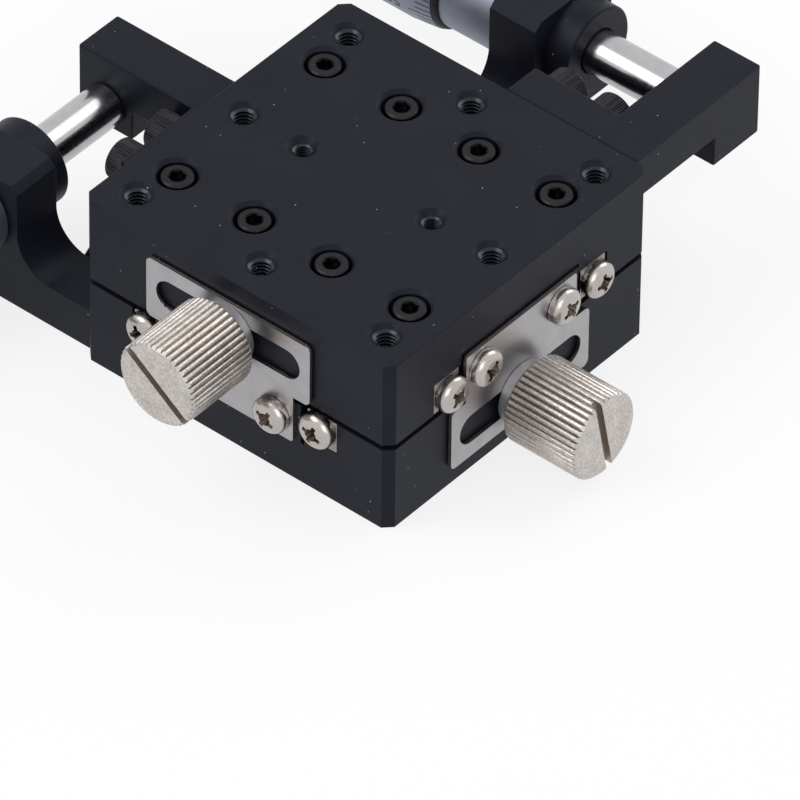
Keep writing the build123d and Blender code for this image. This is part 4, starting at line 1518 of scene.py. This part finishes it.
@dataclass(frozen=True)
class Camera:
    """Camera at the photograph's viewing angle, worked out from eight of the top's threaded holes."""

    azimuth: float = 39.6604
    elevation: float = 41.9341
    roll: float = 0.8062
    distance: float = 2.0
    focal_pixels: float = 12997.2
    image_pixels: float = 800.0
    sensor: float = 36.0
    shift_right: float = 0.0051078
    shift_down: float = 0.0334851

    def build(self) -> None:
        """Add the camera and make it the scene's."""
        a, e, r = (math.radians(value) for value in (self.azimuth, self.elevation, self.roll))
        back = Vector((math.sin(a) * math.cos(e), -math.cos(a) * math.cos(e), math.sin(e)))
        right = Vector((math.cos(a), math.sin(a), 0.0))
        up = back.cross(right)
        right, up = right * math.cos(r) + up * math.sin(r), up * math.cos(r) - right * math.sin(r)
        data = bpy.data.cameras.new("camera")
        data.sensor_width = self.sensor
        data.lens = self.focal_pixels / self.image_pixels * self.sensor
        data.clip_end = 50.0
        camera = bpy.data.objects.new("camera", data)
        bpy.context.collection.objects.link(camera)
        target = Vector((0.0, 0.0, TOTAL_HEIGHT * MM))
        place = target + back * self.distance + right * self.shift_right - up * self.shift_down
        turn = Matrix((right, up, back)).transposed().to_4x4()
        camera.matrix_world = Matrix.Translation(place) @ turn
        bpy.context.scene.camera = camera


@dataclass(frozen=True)
class Studio:
    """Pale floor, soft lamps and a white background."""

    floor_half: float = 6.0
    floor_colour: Triple = (0.95, 0.95, 0.95)
    floor_glow: float = 0.8
    sky: Triple = (0.86, 0.88, 0.92)
    sky_strength: float = 0.6
    lamps: tuple[tuple[str, Triple, float, float], ...] = (
        ("key", (-0.5, -0.55, 0.9), 0.7, 5.0),
        ("fill", (0.75, -0.6, 0.55), 0.8, 3.0),
        ("back", (0.1, 0.85, 0.7), 0.8, 3.5),
    )

    def background(self) -> None:
        """World that is white where it is seen or reflected, and a soft sky for light."""
        nodes = NodeTree("studio", "worlds")
        sky = nodes.tree.nodes["Background"]
        sky.inputs["Color"].default_value = (*self.sky, 1)
        sky.inputs["Strength"].default_value = self.sky_strength
        white = nodes.add("Background")
        white.inputs["Color"].default_value = (1, 1, 1, 1)
        end = nodes.tree.nodes["World Output"].inputs["Surface"]
        nodes.over(nodes.seen_or_reflected(), sky.outputs[0], white.outputs[0], end)
        bpy.context.scene.world = nodes.material

    def floor(self) -> None:
        """Pale floor that keeps the object's shadow."""
        bpy.ops.object.select_all(action="DESELECT")
        bpy.ops.mesh.primitive_plane_add(size=2 * self.floor_half, location=(0, 0, 0))
        floor = bpy.context.object
        floor.name = "floor"
        nodes = NodeTree("pale_floor")
        nodes.put("Base Color", (*self.floor_colour, 1))
        nodes.put("Roughness", 0.7)
        nodes.put("Specular IOR Level", 0.1)
        glow = nodes.add("Emission")
        glow.inputs["Color"].default_value = (1, 1, 1, 1)
        share = nodes.product(nodes.seen_or_reflected(), self.floor_glow)
        end = nodes.tree.nodes["Material Output"].inputs["Surface"]
        nodes.over(share, nodes.shader.outputs[0], glow.outputs[0], end)
        floor.data.materials.append(nodes.material)

    def lights(self) -> None:
        """Soft square lamps that look at the stage."""
        for name, place, size, power in self.lamps:
            data = bpy.data.lights.new(name, "AREA")
            data.shape = "SQUARE"
            data.size = size
            data.energy = power
            lamp = bpy.data.objects.new(name, data)
            bpy.context.collection.objects.link(lamp)
            lamp.location = place
            lamp.rotation_euler = Vector(place).to_track_quat("Z", "Y").to_euler()

    def build(self) -> None:
        """Set up the studio."""
        bpy.context.scene.view_settings.view_transform = "Standard"
        self.background()
        self.floor()
        self.lights()


def main() -> None:
    """Build the studio and every sub-assembly in order."""
    logging.basicConfig(level=logging.INFO, format="%(name)s %(message)s")
    Camera().build()
    Studio().build()
    slides = (
        ("x", "top", UPRIGHT, RAIL_STEEL_X, STAINLESS_X),
        ("y", "base", FLIPPED, RAIL_STEEL, STAINLESS_Y),
    )
    slot_angles = {"x": math.radians(36.8), "y": math.radians(-78)}
    for slide, body, layout, rail_finish, plate_finish in slides:
        PlateBody(slide, body, layout).build()
        RailEnds(slide, body, layout, rail_finish).build()
        SideLock(slide, body, layout, plate_finish, slot_angles[slide]).build()
        Inside(slide, rail_finish).build()
        ReturnSpring(slide, body, "xy".index(slide)).build()
    ANODISED.dress(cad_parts["middle_block"])
    drives = (("x", "top", "middle", UPRIGHT, SPINDLE_X), ("y", "middle", "base", QUARTERED, SPINDLE_Y))
    for slide, anvil_body, holder_body, layout, spindle_finish in drives:
        Anvil(slide, anvil_body, layout).build()
        Holder(slide, holder_body, layout).build()
        Micrometer(slide, holder_body, layout, spindle_finish).build()


if __name__ == "__main__":
    main()
